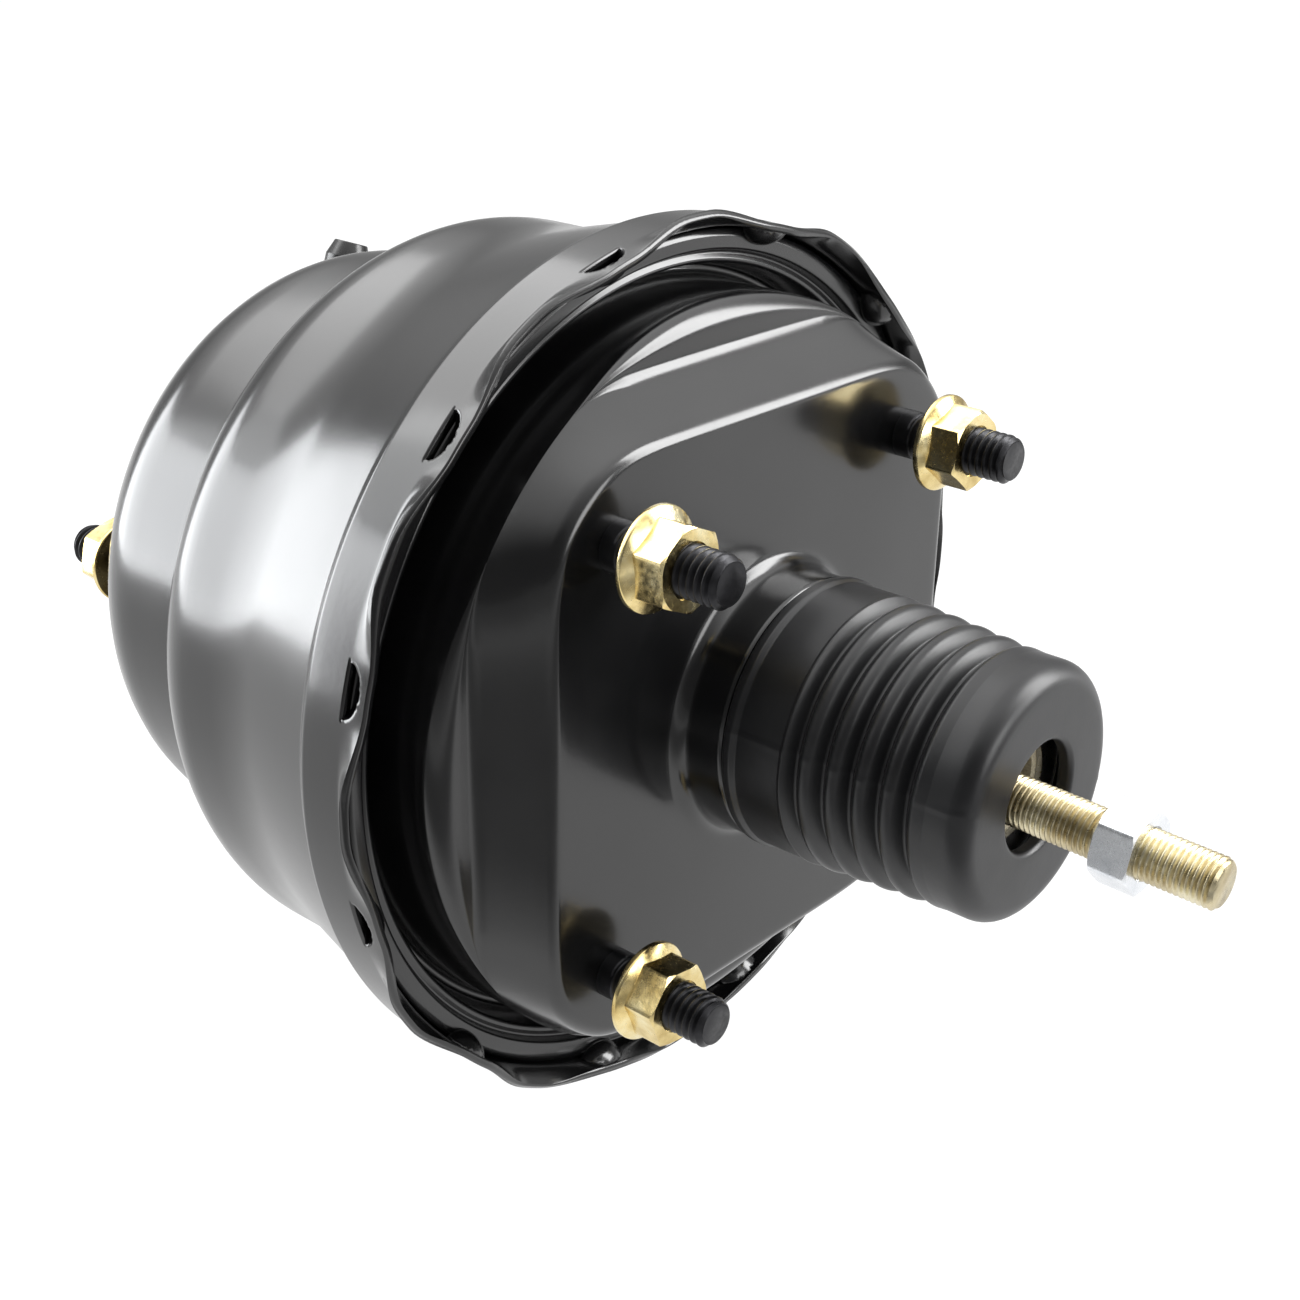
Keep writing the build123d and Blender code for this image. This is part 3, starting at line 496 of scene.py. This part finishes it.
def dome_profile(angle):
    """Outer skin from the neck's end over the platform to the flange, along one direction."""
    top = clipped_square(PLATFORM_HALF, PLATFORM_R, PLATFORM_BLEND, angle)
    foot = min(clipped_square(SHELF_HALF, DOME_R + 0.15, SHELF_BLEND, angle), DOME_R)
    shoulder_radius = min(5.5, (DOME_R - foot) * 1.2)
    points = [(NECK_LIP_R, NECK_END_Y), (NECK_LIP_R, NECK_STEP_Y), (NECK_R, NECK_STEP_Y), (NECK_R, 0),
              (top, 0), (foot, SHELF_Y), (DOME_R, SHELF_Y + 0.01), (DOME_R, RECESS_Y), (RECESS_R, RECESS_Y),
              (BEAD_R[0], BEAD_Y), (BEAD_R[1], BEAD_Y + 1.1), (FLANGE_R[0], FLANGE_Y),
              (FLANGE_R[1], FLANGE_Y)]
    radii = [0.4, 1.3, NECK_ROOT_R, 3.2, 3.4, shoulder_radius, 1.6, 1.6, 0.9, 0.5, 0.7]
    return rounded(points, radii)


def rear_shell():
    """Stamped dome, made from as many rows in every direction."""
    count = 720
    straight = dome_profile(math.pi / 2)
    diagonal = dome_profile(math.pi / 4)
    lengths = [max(math.dist(a, b), math.dist(c, d))
               for a, b, c, d in zip(straight, straight[1:], diagonal, diagonal[1:])]
    counts = steps_per_run(lengths, 2.5)
    angles = [2 * math.pi * j / count for j in range(count)]
    columns = [split_runs(dome_profile(angle), counts) for angle in angles]
    rows = len(columns[0])
    vertices = [(column[i][0] * math.cos(angle), column[i][1], column[i][0] * math.sin(angle))
                for i in range(rows) for angle, column in zip(angles, columns)]
    shell = build("rear_shell_skin", vertices, ring_faces(rows, count), "housing", PAINT,
                  ["rear_shell"], 50.0)
    thicken(shell)


def thicken(skin):
    """Gives an open skin its sheet thickness on the side that faces the inside of the booster."""
    mesh = skin.data
    polygon = max(mesh.polygons, key=lambda face: face.area)
    faces_in = (Vector(INSIDE) * MM - polygon.center).dot(polygon.normal) > 0
    sheet = skin.modifiers.new("sheet", "SOLIDIFY")
    sheet.thickness = SHEET * MM
    sheet.offset = 1.0 if faces_in else -1.0
    sheet.use_even_offset = True


# ---------------------------------------------------------------- front shell
def lance_angles():
    """Column angles: four to a degree across each lance, one to a degree between two."""
    step = 360 / LANCE_COUNT
    fine = int(LANCE_FINE_HALF_DEG * 8)
    coarse = int(step - 2 * LANCE_FINE_HALF_DEG)
    angles = []
    for index in range(LANCE_COUNT):
        centre = LANCE_FIRST_DEG + index * step
        angles += [centre - LANCE_FINE_HALF_DEG + 0.25 * k for k in range(fine)]
        angles += [centre + LANCE_FINE_HALF_DEG + k for k in range(coarse)]
    return [math.radians(angle) for angle in angles]


def from_lance(angle):
    """Signed angle to the nearest lance's middle."""
    step = 2 * math.pi / LANCE_COUNT
    offset = (angle - math.radians(LANCE_FIRST_DEG)) % step
    return offset if offset < step / 2 else offset - step


def lance_dent(angle, y):
    """How far the lanced tongue is pushed in at a point of the band."""
    across = BAND_R * from_lance(angle)
    below_slit = LANCE_Y - y
    if below_slit < -1e-6:
        return 0.0
    reach_sq = (across / LANCE_HALF_WIDTH) ** 2 + (below_slit / LANCE_LENGTH) ** 2
    return LANCE_DEPTH * (1 - reach_sq) ** 0.65 if reach_sq < 1 else 0.0


def rim_point(angle, t):
    """Point of the lip from the slits, at t = 0, to the wavy rim, at t = 1."""
    lobe_share = smoothstep(2.0, 13.0, abs(math.degrees(from_lance(angle))))
    rim_r, rim_y = (valley + (lobe - valley) * lobe_share for valley, lobe in zip(RIM_VALLEY, RIM_LOBE))
    y = LANCE_Y + (rim_y - LANCE_Y) * t
    flare = t * t * (1.4 - 0.4 * t)
    return BAND_R + (rim_r - BAND_R) * flare - lance_dent(angle, y), y


def front_profile():
    """Outer skin from the rod hole over the drum to the band."""
    points = [(ROD_HOLE_R, FRONT_Y - PILOT_DEPTH), (PILOT_R, FRONT_Y - PILOT_DEPTH), (PILOT_R, FRONT_Y),
              (DRUM_R, FRONT_Y), (DRUM_R, CREASE_Y), (BODY_R, BODY_Y[1]), (BODY_R, BODY_Y[0]),
              (FLARE_R, FLARE_Y), (BAND_R, BAND_TOP_Y), (BAND_R, BAND_LOW_Y)]
    return rounded(points, [1.6, 2.2, 20, 5.0, 16, 60, 1.8, 2.0], 10)


def front_shell():
    """Drum, body and band turned from a profile, then the lip with its lances, cut free along their slits."""
    angles = lance_angles()
    count = len(angles)
    band_rows, lip_rows = 3, 16
    upper = resampled(front_profile(), 2.5)
    upper += [(BAND_R, BAND_LOW_Y - (BAND_LOW_Y - LANCE_Y) * k / band_rows) for k in range(1, band_rows + 1)]
    slit_row = len(upper) - 1
    rows = [[point] * count for point in upper]
    rows += [[rim_point(angle, k / lip_rows) for angle in angles] for k in range(lip_rows + 1)]
    vertices = [(r * math.cos(angle), y, r * math.sin(angle))
                for row in rows for (r, y), angle in zip(row, angles)]
    faces = ring_faces(len(rows), count, skip_row=slit_row)
    shell = build("front_shell_skin", vertices, faces, "housing", PAINT, ["front_shell"], 50.0)
    thicken(shell)


# ---------------------------------------------------------------- fasteners
def threaded(name, radius, pitch, low, high, body, material, replaced, place, plain_low=None,
             plain_high=None, chamfer=0.9):
    """Bar with a true helical thread; between plain_low and plain_high its skin stays smooth."""
    around_count = 56
    per_pitch = 6
    cuts = [share * THREAD_DEPTH * pitch for share in (0.0, 0.0, 0.45, 1.0, 0.85, 0.35)]
    rows = int((high - low) / pitch * per_pitch) + 2 * per_pitch + 1
    vertices = []
    for i in range(rows):
        for j in range(around_count):
            turn = j / around_count
            y = low + (i / per_pitch - 1 + turn) * pitch
            y = min(max(y, low), high)
            plain = plain_low is not None and plain_low <= y <= plain_high
            r = radius - (0.0 if plain else cuts[i % per_pitch])
            r = min(r, radius - chamfer + (y - low), radius - chamfer + (high - y))
            angle = 2 * math.pi * turn
            vertices.append(place @ Vector((r * math.cos(angle), y, r * math.sin(angle))))
    faces = []
    for i in range(rows - 1):
        for j in range(around_count):
            k = (j + 1) % around_count
            lift = per_pitch if k == 0 else 0
            a, b = min(i + lift, rows - 1), min(i + 1 + lift, rows - 1)
            faces.append((i * around_count + j, a * around_count + k, b * around_count + k,
                          (i + 1) * around_count + j))
    faces.append(tuple(reversed(range(around_count))))
    faces.append(tuple((rows - 1) * around_count + j for j in range(around_count)))
    build(name, vertices, faces, body, material, replaced, 62.0)


def hex_radius(flats, angle):
    """Distance to a hexagon's side, its corners very slightly rounded."""
    power = 46
    total = sum(max(math.cos(angle - k * math.pi / 3), 0.0) ** power for k in range(6))
    return flats / 2 * total ** (-1 / power)


def hex_nut(name, height, bore, body, material, place, replaced, flange_r=None):
    """Hexagon nut about local Y with its seat at 0: with a flange, or chamfered at both ends."""
    count = 192
    crown_r = NUT_FLATS / 2 * 1.03

    def drop(reach):
        """How far the chamfer has come down at the hexagon's side."""
        return max(0.0, (reach - crown_r) * math.tan(math.radians(30)))

    def ring(r, y):
        return lambda reach: (r, y)

    if flange_r:
        flange = rounded([(bore + 0.5, 0.25), (bore + 0.9, 0), (flange_r, 0), (flange_r, 1.1),
                          (NUT_FLATS / 2 * 1.02, 2.7)], [0.1, 0.35, 0.45], 5)
        rows = [ring(*point) for point in flange[:-1]]
        rows += [lambda reach: (reach, 2.3 - (reach - NUT_FLATS / 2) * 0.35),
                 lambda reach: (reach, (2.9 + height - drop(reach)) / 2)]
    else:
        rows = [ring(bore + 0.1, 0.6), ring(bore + 0.6, 0), lambda reach: (min(reach, crown_r), 0.0),
                lambda reach: (reach, drop(reach)), lambda reach: (reach, height / 2)]
    rows += [lambda reach: (reach, height - drop(reach)), lambda reach: (min(reach, crown_r), height),
             ring(bore + 0.7, height), ring(bore + 0.05, height - 0.65), ring(bore + 0.05, 0.6)]
    vertices = []
    for row in rows:
        for j in range(count):
            angle = 2 * math.pi * j / count
            r, y = row(hex_radius(NUT_FLATS, angle))
            vertices.append(place @ Vector((r * math.cos(angle), y, r * math.sin(angle))))
    build(name, vertices, ring_faces(len(rows), count), body, material, replaced, 24.0)


def flange_nut(name, seat, turn_deg, node):
    """Yellow nut on a stud, turned a little on its thread as the fitter left it."""
    hex_nut(name, NUT_HEIGHT, STUD_R - 0.35, "housing", YELLOW,
            seat @ Matrix.Rotation(math.radians(turn_deg), 4, "Y"), [node], NUT_FLANGE_R)


def firewall_hardware():
    """Four studs with their nuts, on the square that the firewall is drilled to."""
    places = [(x, z) for x in (-STUD_HALF, STUD_HALF) for z in (STUD_HALF, -STUD_HALF)]
    for index, ((x, z), turn_deg) in enumerate(zip(places, (6, 22, -9, 14)), start=1):
        place = Matrix.Translation((x, 0, z))
        threaded(f"firewall_stud_{index}", STUD_R, STUD_PITCH, FIREWALL_STUD_END, 1.4, "housing", BLACK_STEEL,
                 ["firewall_studs"], place, plain_low=-3.2, plain_high=2)
        seat = place @ Matrix.Translation((0, FIREWALL_NUT_Y, 0)) @ Matrix.Rotation(math.pi, 4, "Z")
        flange_nut(f"firewall_nut_{index}", seat, turn_deg, "firewall_nuts")


def front_hardware():
    """Two studs with their nuts, for the master cylinder."""
    for index, (x, turn_deg) in enumerate(((-STUD_HALF, 12), (STUD_HALF, -20)), start=1):
        place = Matrix.Translation((x, 0, 0))
        threaded(f"master_cylinder_stud_{index}", STUD_R, STUD_PITCH, FRONT_Y - 1, FRONT_STUD_END, "housing",
                 BLACK_STEEL, ["master_cylinder_studs"], place, plain_low=FRONT_Y - 2,
                 plain_high=FRONT_Y + 5)
        seat = place @ Matrix.Translation((0, FRONT_NUT_Y, 0))
        flange_nut(f"master_cylinder_nut_{index}", seat, turn_deg, "master_cylinder_nuts")


# ---------------------------------------------------------------- boot and pushrod
def boot_profile():
    """Concertina boot: stretched collar, smooth barrel, grooves between full ridges, round nose."""
    outer = [(BOOT_BORE_R, BOOT_START), (BOOT_COLLAR_R, BOOT_START), (BOOT_COLLAR_R, -12.9),
             (BOOT_BARREL_R, -13.8), (BOOT_BARREL_R, BOOT_BARREL_END)]
    radii = [0.7, 0.9, 0.8, 1.2]
    for index in range(GROOVE_COUNT):
        middle = GROOVE_FIRST - index * GROOVE_PITCH
        ridge = BOOT_R - RIDGE_TAPER * index
        outer += [(ridge, middle + RIDGE_HALF), (ridge - GROOVE_DEPTH, middle),
                  (ridge - 0.2, middle - RIDGE_HALF)]
        radii += [1.5, 0.55, 1.5]
    inner_r = BOOT_NOSE_R - BOOT_WALL
    outer += [(BOOT_NOSE_R, -53.2), (BOOT_NOSE_R, BOOT_END), (BOOT_HOLE_R, BOOT_END),
              (BOOT_HOLE_R, BOOT_END + BOOT_WALL), (inner_r, BOOT_END + BOOT_WALL), (inner_r, BOOT_BORE_END),
              (BOOT_BORE_R, BOOT_BORE_END), (BOOT_BORE_R, BOOT_START)]
    radii += [2.5, 12.5, 1.1, 1.1, 9.3, 0.5, 0.3]
    return rounded(outer, radii, 9)


def moulded(r, y, angle):
    """Faint mould line along two sides of the boot and the slight unevenness of its soft rubber."""
    if r < 21.5 and y > BOOT_END + 4:
        return r, y
    sway = 0.06 * math.sin(2 * angle + 0.6) + 0.03 * math.sin(3 * angle + y * 0.05)
    seam = 0.0
    for line in (math.radians(-12), math.radians(168)):
        offset = (angle - line + math.pi) % (2 * math.pi) - math.pi
        seam = max(seam, 0.16 * math.exp(-(offset * r / 0.5) ** 2))
    return r + sway + seam, y


def dust_boot():
    boot = lathe("dust_boot_rubber", resampled(boot_profile(), 1.6)[:-1], "housing", BOOT,
                 ["dust_boot"], count=288, shape=moulded, sharp_deg=70)
    shorten(boot)


def shorten(piece):
    """Gives a piece its own copy of its mesh; its shape is left as it is."""
    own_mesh(piece)


def pushrod():
    """Shank with its ball, rolled thread and jam nut, hanging a little about the ball."""
    ball = Matrix.Translation((0, BALL_Y, 0))
    place = ball @ Matrix.Rotation(math.radians(ROD_DROOP_DEG), 4, "X") @ ball.inverted()
    threaded("pushrod_thread", STUD_R, ROD_PITCH, ROD_END, ROD_THREAD_START, "pedal_rod", ROD_ZINC,
             ["pushrod"], place, chamfer=0.7)
    shank_r, shank_end = 4.1, ROD_THREAD_START - 0.3
    shank = rounded([(0.01, shank_end), (shank_r, shank_end), (shank_r, 1), (3.2, 3), (3.2, 10.6),
                     (5.0, 12.6), (5.5, BALL_Y), (5.0, 17.4), (3.4, 19.3), (0.01, 20.5)],
                    [0.3, 0.8, 0.8, 0.8, 3, 4.5, 5, 4], 5)
    lathe("pushrod_shank", shank, "pedal_rod", ROD_ZINC, ["pushrod"], count=64, close=False,
          place=place)
    nut_place = place @ Matrix.Translation((0, JAM_NUT_FACE_Y - JAM_NUT_HEIGHT, 0))
    hex_nut("jam_nut_hex", JAM_NUT_HEIGHT, STUD_R - 0.3, "pedal_rod", WHITE,
            nut_place @ Matrix.Rotation(math.radians(14), 4, "Y"), ["jam_nut"])


# ---------------------------------------------------------------- springs and moulded rubber inside
def coil(name, radius, wire, low, high, turns, body, replaced, place=None):
    """Open-ended helical spring about Y; wire is the wire's radius."""
    steps, sides = 40, 10
    count = turns * steps
    vertices = []
    for i in range(count + 1):
        angle = 2 * math.pi * i / steps
        y = low + wire + (high - low - 2 * wire) * i / count
        for j in range(sides):
            side = 2 * math.pi * j / sides
            r = radius + wire * math.cos(side)
            point = (r * math.cos(angle), y + wire * math.sin(side), r * math.sin(angle))
            vertices.append(place @ Vector(point) if place else point)
    faces = ring_faces(count + 1, sides)
    faces.append(tuple(range(sides)))
    faces.append(tuple(count * sides + j for j in reversed(range(sides))))
    return build(name, vertices, faces, body, BARE_STEEL, replaced)


def springs():
    """The springs: around the output rod, behind the air valve and in the check valve."""
    low, high = 63.9, 127.8
    spring = coil("return_spring_wire", 25.0, 1.7, low, high, 5, "housing", ["return_spring"])
    shorten(spring)
    low, high = -37.5, -26.4
    spring = coil("valve_return_spring_wire", 8.8, 0.8, low, high, 4, "power_piston", ["valve_return_spring"])
    shorten(spring)
    low, high = 8.0, 16.2
    spring = coil("check_valve_spring_wire", 3.4, 0.35, low, high, 3, "housing", ["check_valve_spring"],
                  valve_place())
    shorten(spring)


def rubber_sheet(name, path, radii, body, replaced):
    """Turned rubber sheet about its middle line."""
    line = resampled(rounded(path, radii, 5), 1.5)
    sides = ([], [])
    for index, (r, y) in enumerate(line):
        before, after = line[max(index - 1, 0)], line[min(index + 1, len(line) - 1)]
        run = math.dist(before, after)
        across = ((after[1] - before[1]) / run, (before[0] - after[0]) / run)
        for side, sign in zip(sides, (0.5, -0.5)):
            side.append((r + sign * RUBBER_WALL * across[0], y + sign * RUBBER_WALL * across[1]))
    return lathe(name, sides[0] + sides[1][::-1], body, SEAL, replaced)


def diaphragm(node, under, wall_r, foot_y, roll_y, outer_r, bead):
    """Sheet under the plate and its rolling wall, then the flat roll and bead that stay with the shell."""
    wall_end = roll_y - 0.8
    sheet_path = under + [(wall_r, foot_y), (wall_r, wall_end)]
    sheet = rubber_sheet(node + "_sheet", sheet_path, [2, 2, 3, 3], None, [node])
    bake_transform(sheet)
    rubber_sheet(node + "_roll", [(wall_r, roll_y), (outer_r, roll_y)], [], "housing", [node])
    inner_r, low, high = bead
    lathe(node + "_bead", [(inner_r, low), (outer_r, low), (outer_r, high), (inner_r, high)], "housing", SEAL,
          [node])


def inner_rubber():
    diaphragm("rear_diaphragm", under=[(19.2, 10.75), (27, 10.75), (31, 12.35), (57.2, 12.35)], wall_r=62.3,
              foot_y=17.0, roll_y=34.4, outer_r=83.3, bead=(80.6, 28.0, 36.6))
    diaphragm("front_diaphragm", under=[(16.7, 61.25), (32, 61.25), (36, 62.85), (54.0, 62.85)], wall_r=59.1,
              foot_y=67.6, roll_y=78.7, outer_r=75.9, bead=(71.6, 77.9, 82.6))


# ---------------------------------------------------------------- vacuum check valve
def check_valve():
    """Chamber, beaded hose nipple and the grommet's lip, on the valve's own axes."""
    place = valve_place()
    stem_r, chamber_r, shoulder_r = 6.2, 8.2, 9.6
    chamber = rounded([(2.6, -9), (5.4, -9), (stem_r, -7.5), (stem_r, 2.7), (shoulder_r, 2.7),
                       (shoulder_r, 4.7), (chamber_r, 5.0), (chamber_r, 17), (6.6, 18.5), (0.01, 18.5)],
                      [0.3, 0.4, 0.2, 0.5, 0.6, 0.6, 0.8, 0.8], 5)
    lathe("check_valve_chamber", chamber, "housing", VALVE, ["check_valve_body"],
          close=False, place=place)
    bead_r, hose_r, bore_r = 5.2, 4.4, 2.6
    nipple = rounded([(bead_r, 5.5), (5.0, 9), (hose_r, 11), (hose_r, VALVE_REACH - 9),
                      (bead_r, VALVE_REACH - 7.5), (bead_r, VALVE_REACH - 3.5), (3.8, VALVE_REACH),
                      (bore_r, VALVE_REACH), (bore_r, 6)],
                     [0.6, 0.6, 0.4, 0.5, 0.5, 0.4, 0.3], 4)
    turn = place @ Matrix.Translation((0, 11.5, 0)) @ Matrix.Rotation(math.radians(-90), 4, "Z")
    lathe("check_valve_nipple", nipple, "housing", VALVE, ["check_valve_body"], count=64,
          place=turn)
    grommet = rounded([(6.25, 2.6), (10.5, 2.6), (11.5, 1.6), (11.5, 0.15), (8.6, 0.15)], [0.6, 0.7, 0.3], 5)
    lathe("check_valve_grommet_lip", grommet, "housing", SEAL, ["check_valve_grommet"],
          place=place)


# ---------------------------------------------------------------- studio
CAMERA_AZIMUTH_DEG = -49.036
CAMERA_ELEVATION_DEG = 24.291
CAMERA_ROLL_DEG = 0.968
CAMERA_PLACE = (-275.45, -209.61, 164.88)
FOCAL_PIXELS = 1976.2
PHOTO_PIXELS = 1300
SENSOR_WIDTH = 36
LAMP_TARGET = (0, 0.045, 0)


def camera():
    """Camera where the photograph was fitted to have been taken from."""
    azimuth, elevation, roll = (math.radians(degrees) for degrees in (
        CAMERA_AZIMUTH_DEG, CAMERA_ELEVATION_DEG, CAMERA_ROLL_DEG))
    back = Vector((math.sin(azimuth) * math.cos(elevation), -math.cos(azimuth) * math.cos(elevation),
                   math.sin(elevation)))
    right = Vector((math.cos(azimuth), math.sin(azimuth), 0))
    up = back.cross(right)
    rolled_right = right * math.cos(roll) + up * math.sin(roll)
    rolled_up = up * math.cos(roll) - right * math.sin(roll)
    data = bpy.data.cameras.new("camera")
    data.sensor_width = SENSOR_WIDTH
    data.lens = SENSOR_WIDTH * (FOCAL_PIXELS / PHOTO_PIXELS)
    data.clip_start = 0.01
    lens = bpy.data.objects.new("camera", data)
    turn = Matrix((rolled_right, rolled_up, back)).transposed().to_4x4()
    lens.matrix_world = Matrix.Translation(Vector(CAMERA_PLACE) * MM) @ turn
    bpy.context.scene.collection.objects.link(lens)
    bpy.context.scene.camera = lens


def softbox(name, azimuth, elevation, width, height, radiance, distance=0.9, colour=(1, 1, 1)):
    """Rectangular lamp aimed at the booster, in metres; azimuth runs from +X towards +Y, in degrees."""
    a, e = math.radians(azimuth), math.radians(elevation)
    direction = Vector((math.cos(a) * math.cos(e), math.sin(a) * math.cos(e), math.sin(e)))
    data = bpy.data.lights.new(name, "AREA")
    data.shape = "RECTANGLE"
    data.size = width
    data.size_y = height
    data.energy = radiance * math.pi * width * height
    data.color = colour
    lamp = bpy.data.objects.new(name, data)
    lamp.location = Vector(LAMP_TARGET) + direction * distance
    lamp.rotation_euler = direction.to_track_quat("Z", "Y").to_euler()
    bpy.context.scene.collection.objects.link(lamp)


def world():
    """White to the eye; in reflections a dim room, bright above and below and darker behind the camera."""
    made = bpy.data.worlds.new("studio")
    bpy.context.scene.world = made
    made.use_nodes = True
    tree = made.node_tree
    tree.nodes.clear()
    ray = tree.nodes.new("ShaderNodeLightPath").outputs
    direction = tree.nodes.new("ShaderNodeTexCoord").outputs["Generated"]
    parts = tree.nodes.new("ShaderNodeSeparateXYZ")
    tree.links.new(direction, parts.inputs[0])
    height = span(tree, parts.outputs["Z"], -1.0, 1.0, 0.0, 1.0)
    open_side = ramp(tree, height, greys((0.0, 1.6), (0.28, 1.5), (0.42, 0.5), (0.64, 0.38), (0.85, 1.7),
                                         (1.0, 2.4)))
    dim_side = ramp(tree, height, greys((0.0, 1.8), (0.17, 2.2), (0.27, 0.12), (0.33, 0.12), (0.40, 0.8),
                                        (0.5, 0.16), (0.8, 0.14)))
    behind_camera = along(tree, direction, Vector((-0.92, -0.38, -0.05)).normalized())
    room = mix_colour(tree, span(tree, behind_camera, 0.1, 0.75, 1.0, 0.0), dim_side, open_side)
    shiny = math_node(tree, "MAXIMUM", ray["Is Glossy Ray"], ray["Is Transmission Ray"])
    light = mix_shader(tree, shiny, background(tree, (1, 1, 1, 1), 0.55), background(tree, room, 1.0))
    seen = mix_shader(tree, ray["Is Camera Ray"], light, background(tree, (1, 1, 1, 1), 1.0))
    output = tree.nodes.new("ShaderNodeOutputWorld")
    tree.links.new(seen, output.inputs["Surface"])


def background(tree, colour, strength):
    node = tree.nodes.new("ShaderNodeBackground")
    feed(tree, node.inputs["Color"], colour)
    node.inputs["Strength"].default_value = strength
    return node.outputs["Background"]


def floor():
    """Pale floor under the rim; it shows white and keeps a soft shadow, and to glossy rays it glows pale and
    dark by place, a painted reflection that the paint mirrors.
    """
    half_size, level = 3.0, -0.0925
    mesh = bpy.data.meshes.new("floor")
    corners = [(x * half_size, y * half_size, level) for x, y in ((-1, -1), (1, -1), (1, 1), (-1, 1))]
    mesh.from_pydata(corners, [], [(0, 1, 2, 3)])
    ground = bpy.data.objects.new("floor", mesh)
    bpy.context.scene.collection.objects.link(ground)
    made, tree, shader = material("floor_white")
    shader.inputs["Base Color"].default_value = (0.9, 0.9, 0.9, 1)
    shader.inputs["Roughness"].default_value = 0.9
    shader.inputs["Specular IOR Level"].default_value = 0.0
    ray = tree.nodes.new("ShaderNodeLightPath").outputs
    position = tree.nodes.new("ShaderNodeNewGeometry").outputs["Position"]
    away = span(tree, along(tree, position, (-0.656, -0.755, 0)), -0.2, 0.6, 0, 1)
    # painted reflection: the floor's glow for glossy rays, bright and dark in bands across the floor, which
    # the paint shows as light and shade
    patches = ramp(tree, away, greys((0.3, 1.0), (0.38, 1.2), (0.45, 0.12), (0.575, 0.06), (0.68, 0.8),
                                     (0.9, 0.3)))
    glow = tree.nodes.new("ShaderNodeEmission")
    feed(tree, glow.inputs["Color"], mix_colour(tree, ray["Is Camera Ray"], patches, (1.12, 1.12, 1.12, 1)))
    shown = math_node(tree, "MAXIMUM", ray["Is Camera Ray"], ray["Is Glossy Ray"])
    share = math_node(tree, "MULTIPLY", shown, 0.85)
    mixed = mix_shader(tree, share, shader.outputs["BSDF"], glow.outputs["Emission"])
    tree.links.new(mixed, tree.nodes["Material Output"].inputs["Surface"])
    mesh.materials.append(made)


def studio():
    world()
    floor()
    softbox("key_right", azimuth=-45, elevation=27, width=0.34, height=0.75, radiance=12.0)
    softbox("far_right", azimuth=-82, elevation=14, width=0.42, height=0.24, radiance=6.0)
    softbox("left_back", azimuth=120, elevation=8, width=0.62, height=0.58, radiance=8.0,
            colour=(0.96, 0.98, 1.0))
    softbox("left_high", azimuth=134, elevation=38, width=0.45, height=0.34, radiance=3.0,
            colour=(0.97, 0.99, 1.0))
    softbox("top_back", azimuth=88, elevation=52, width=0.9, height=0.5, radiance=2.6, distance=1.0)
    bpy.context.scene.view_settings.view_transform = "Standard"


dress_nodes()
rear_shell()
front_shell()
firewall_hardware()
front_hardware()
dust_boot()
pushrod()
springs()
inner_rubber()
check_valve()
camera()
studio()
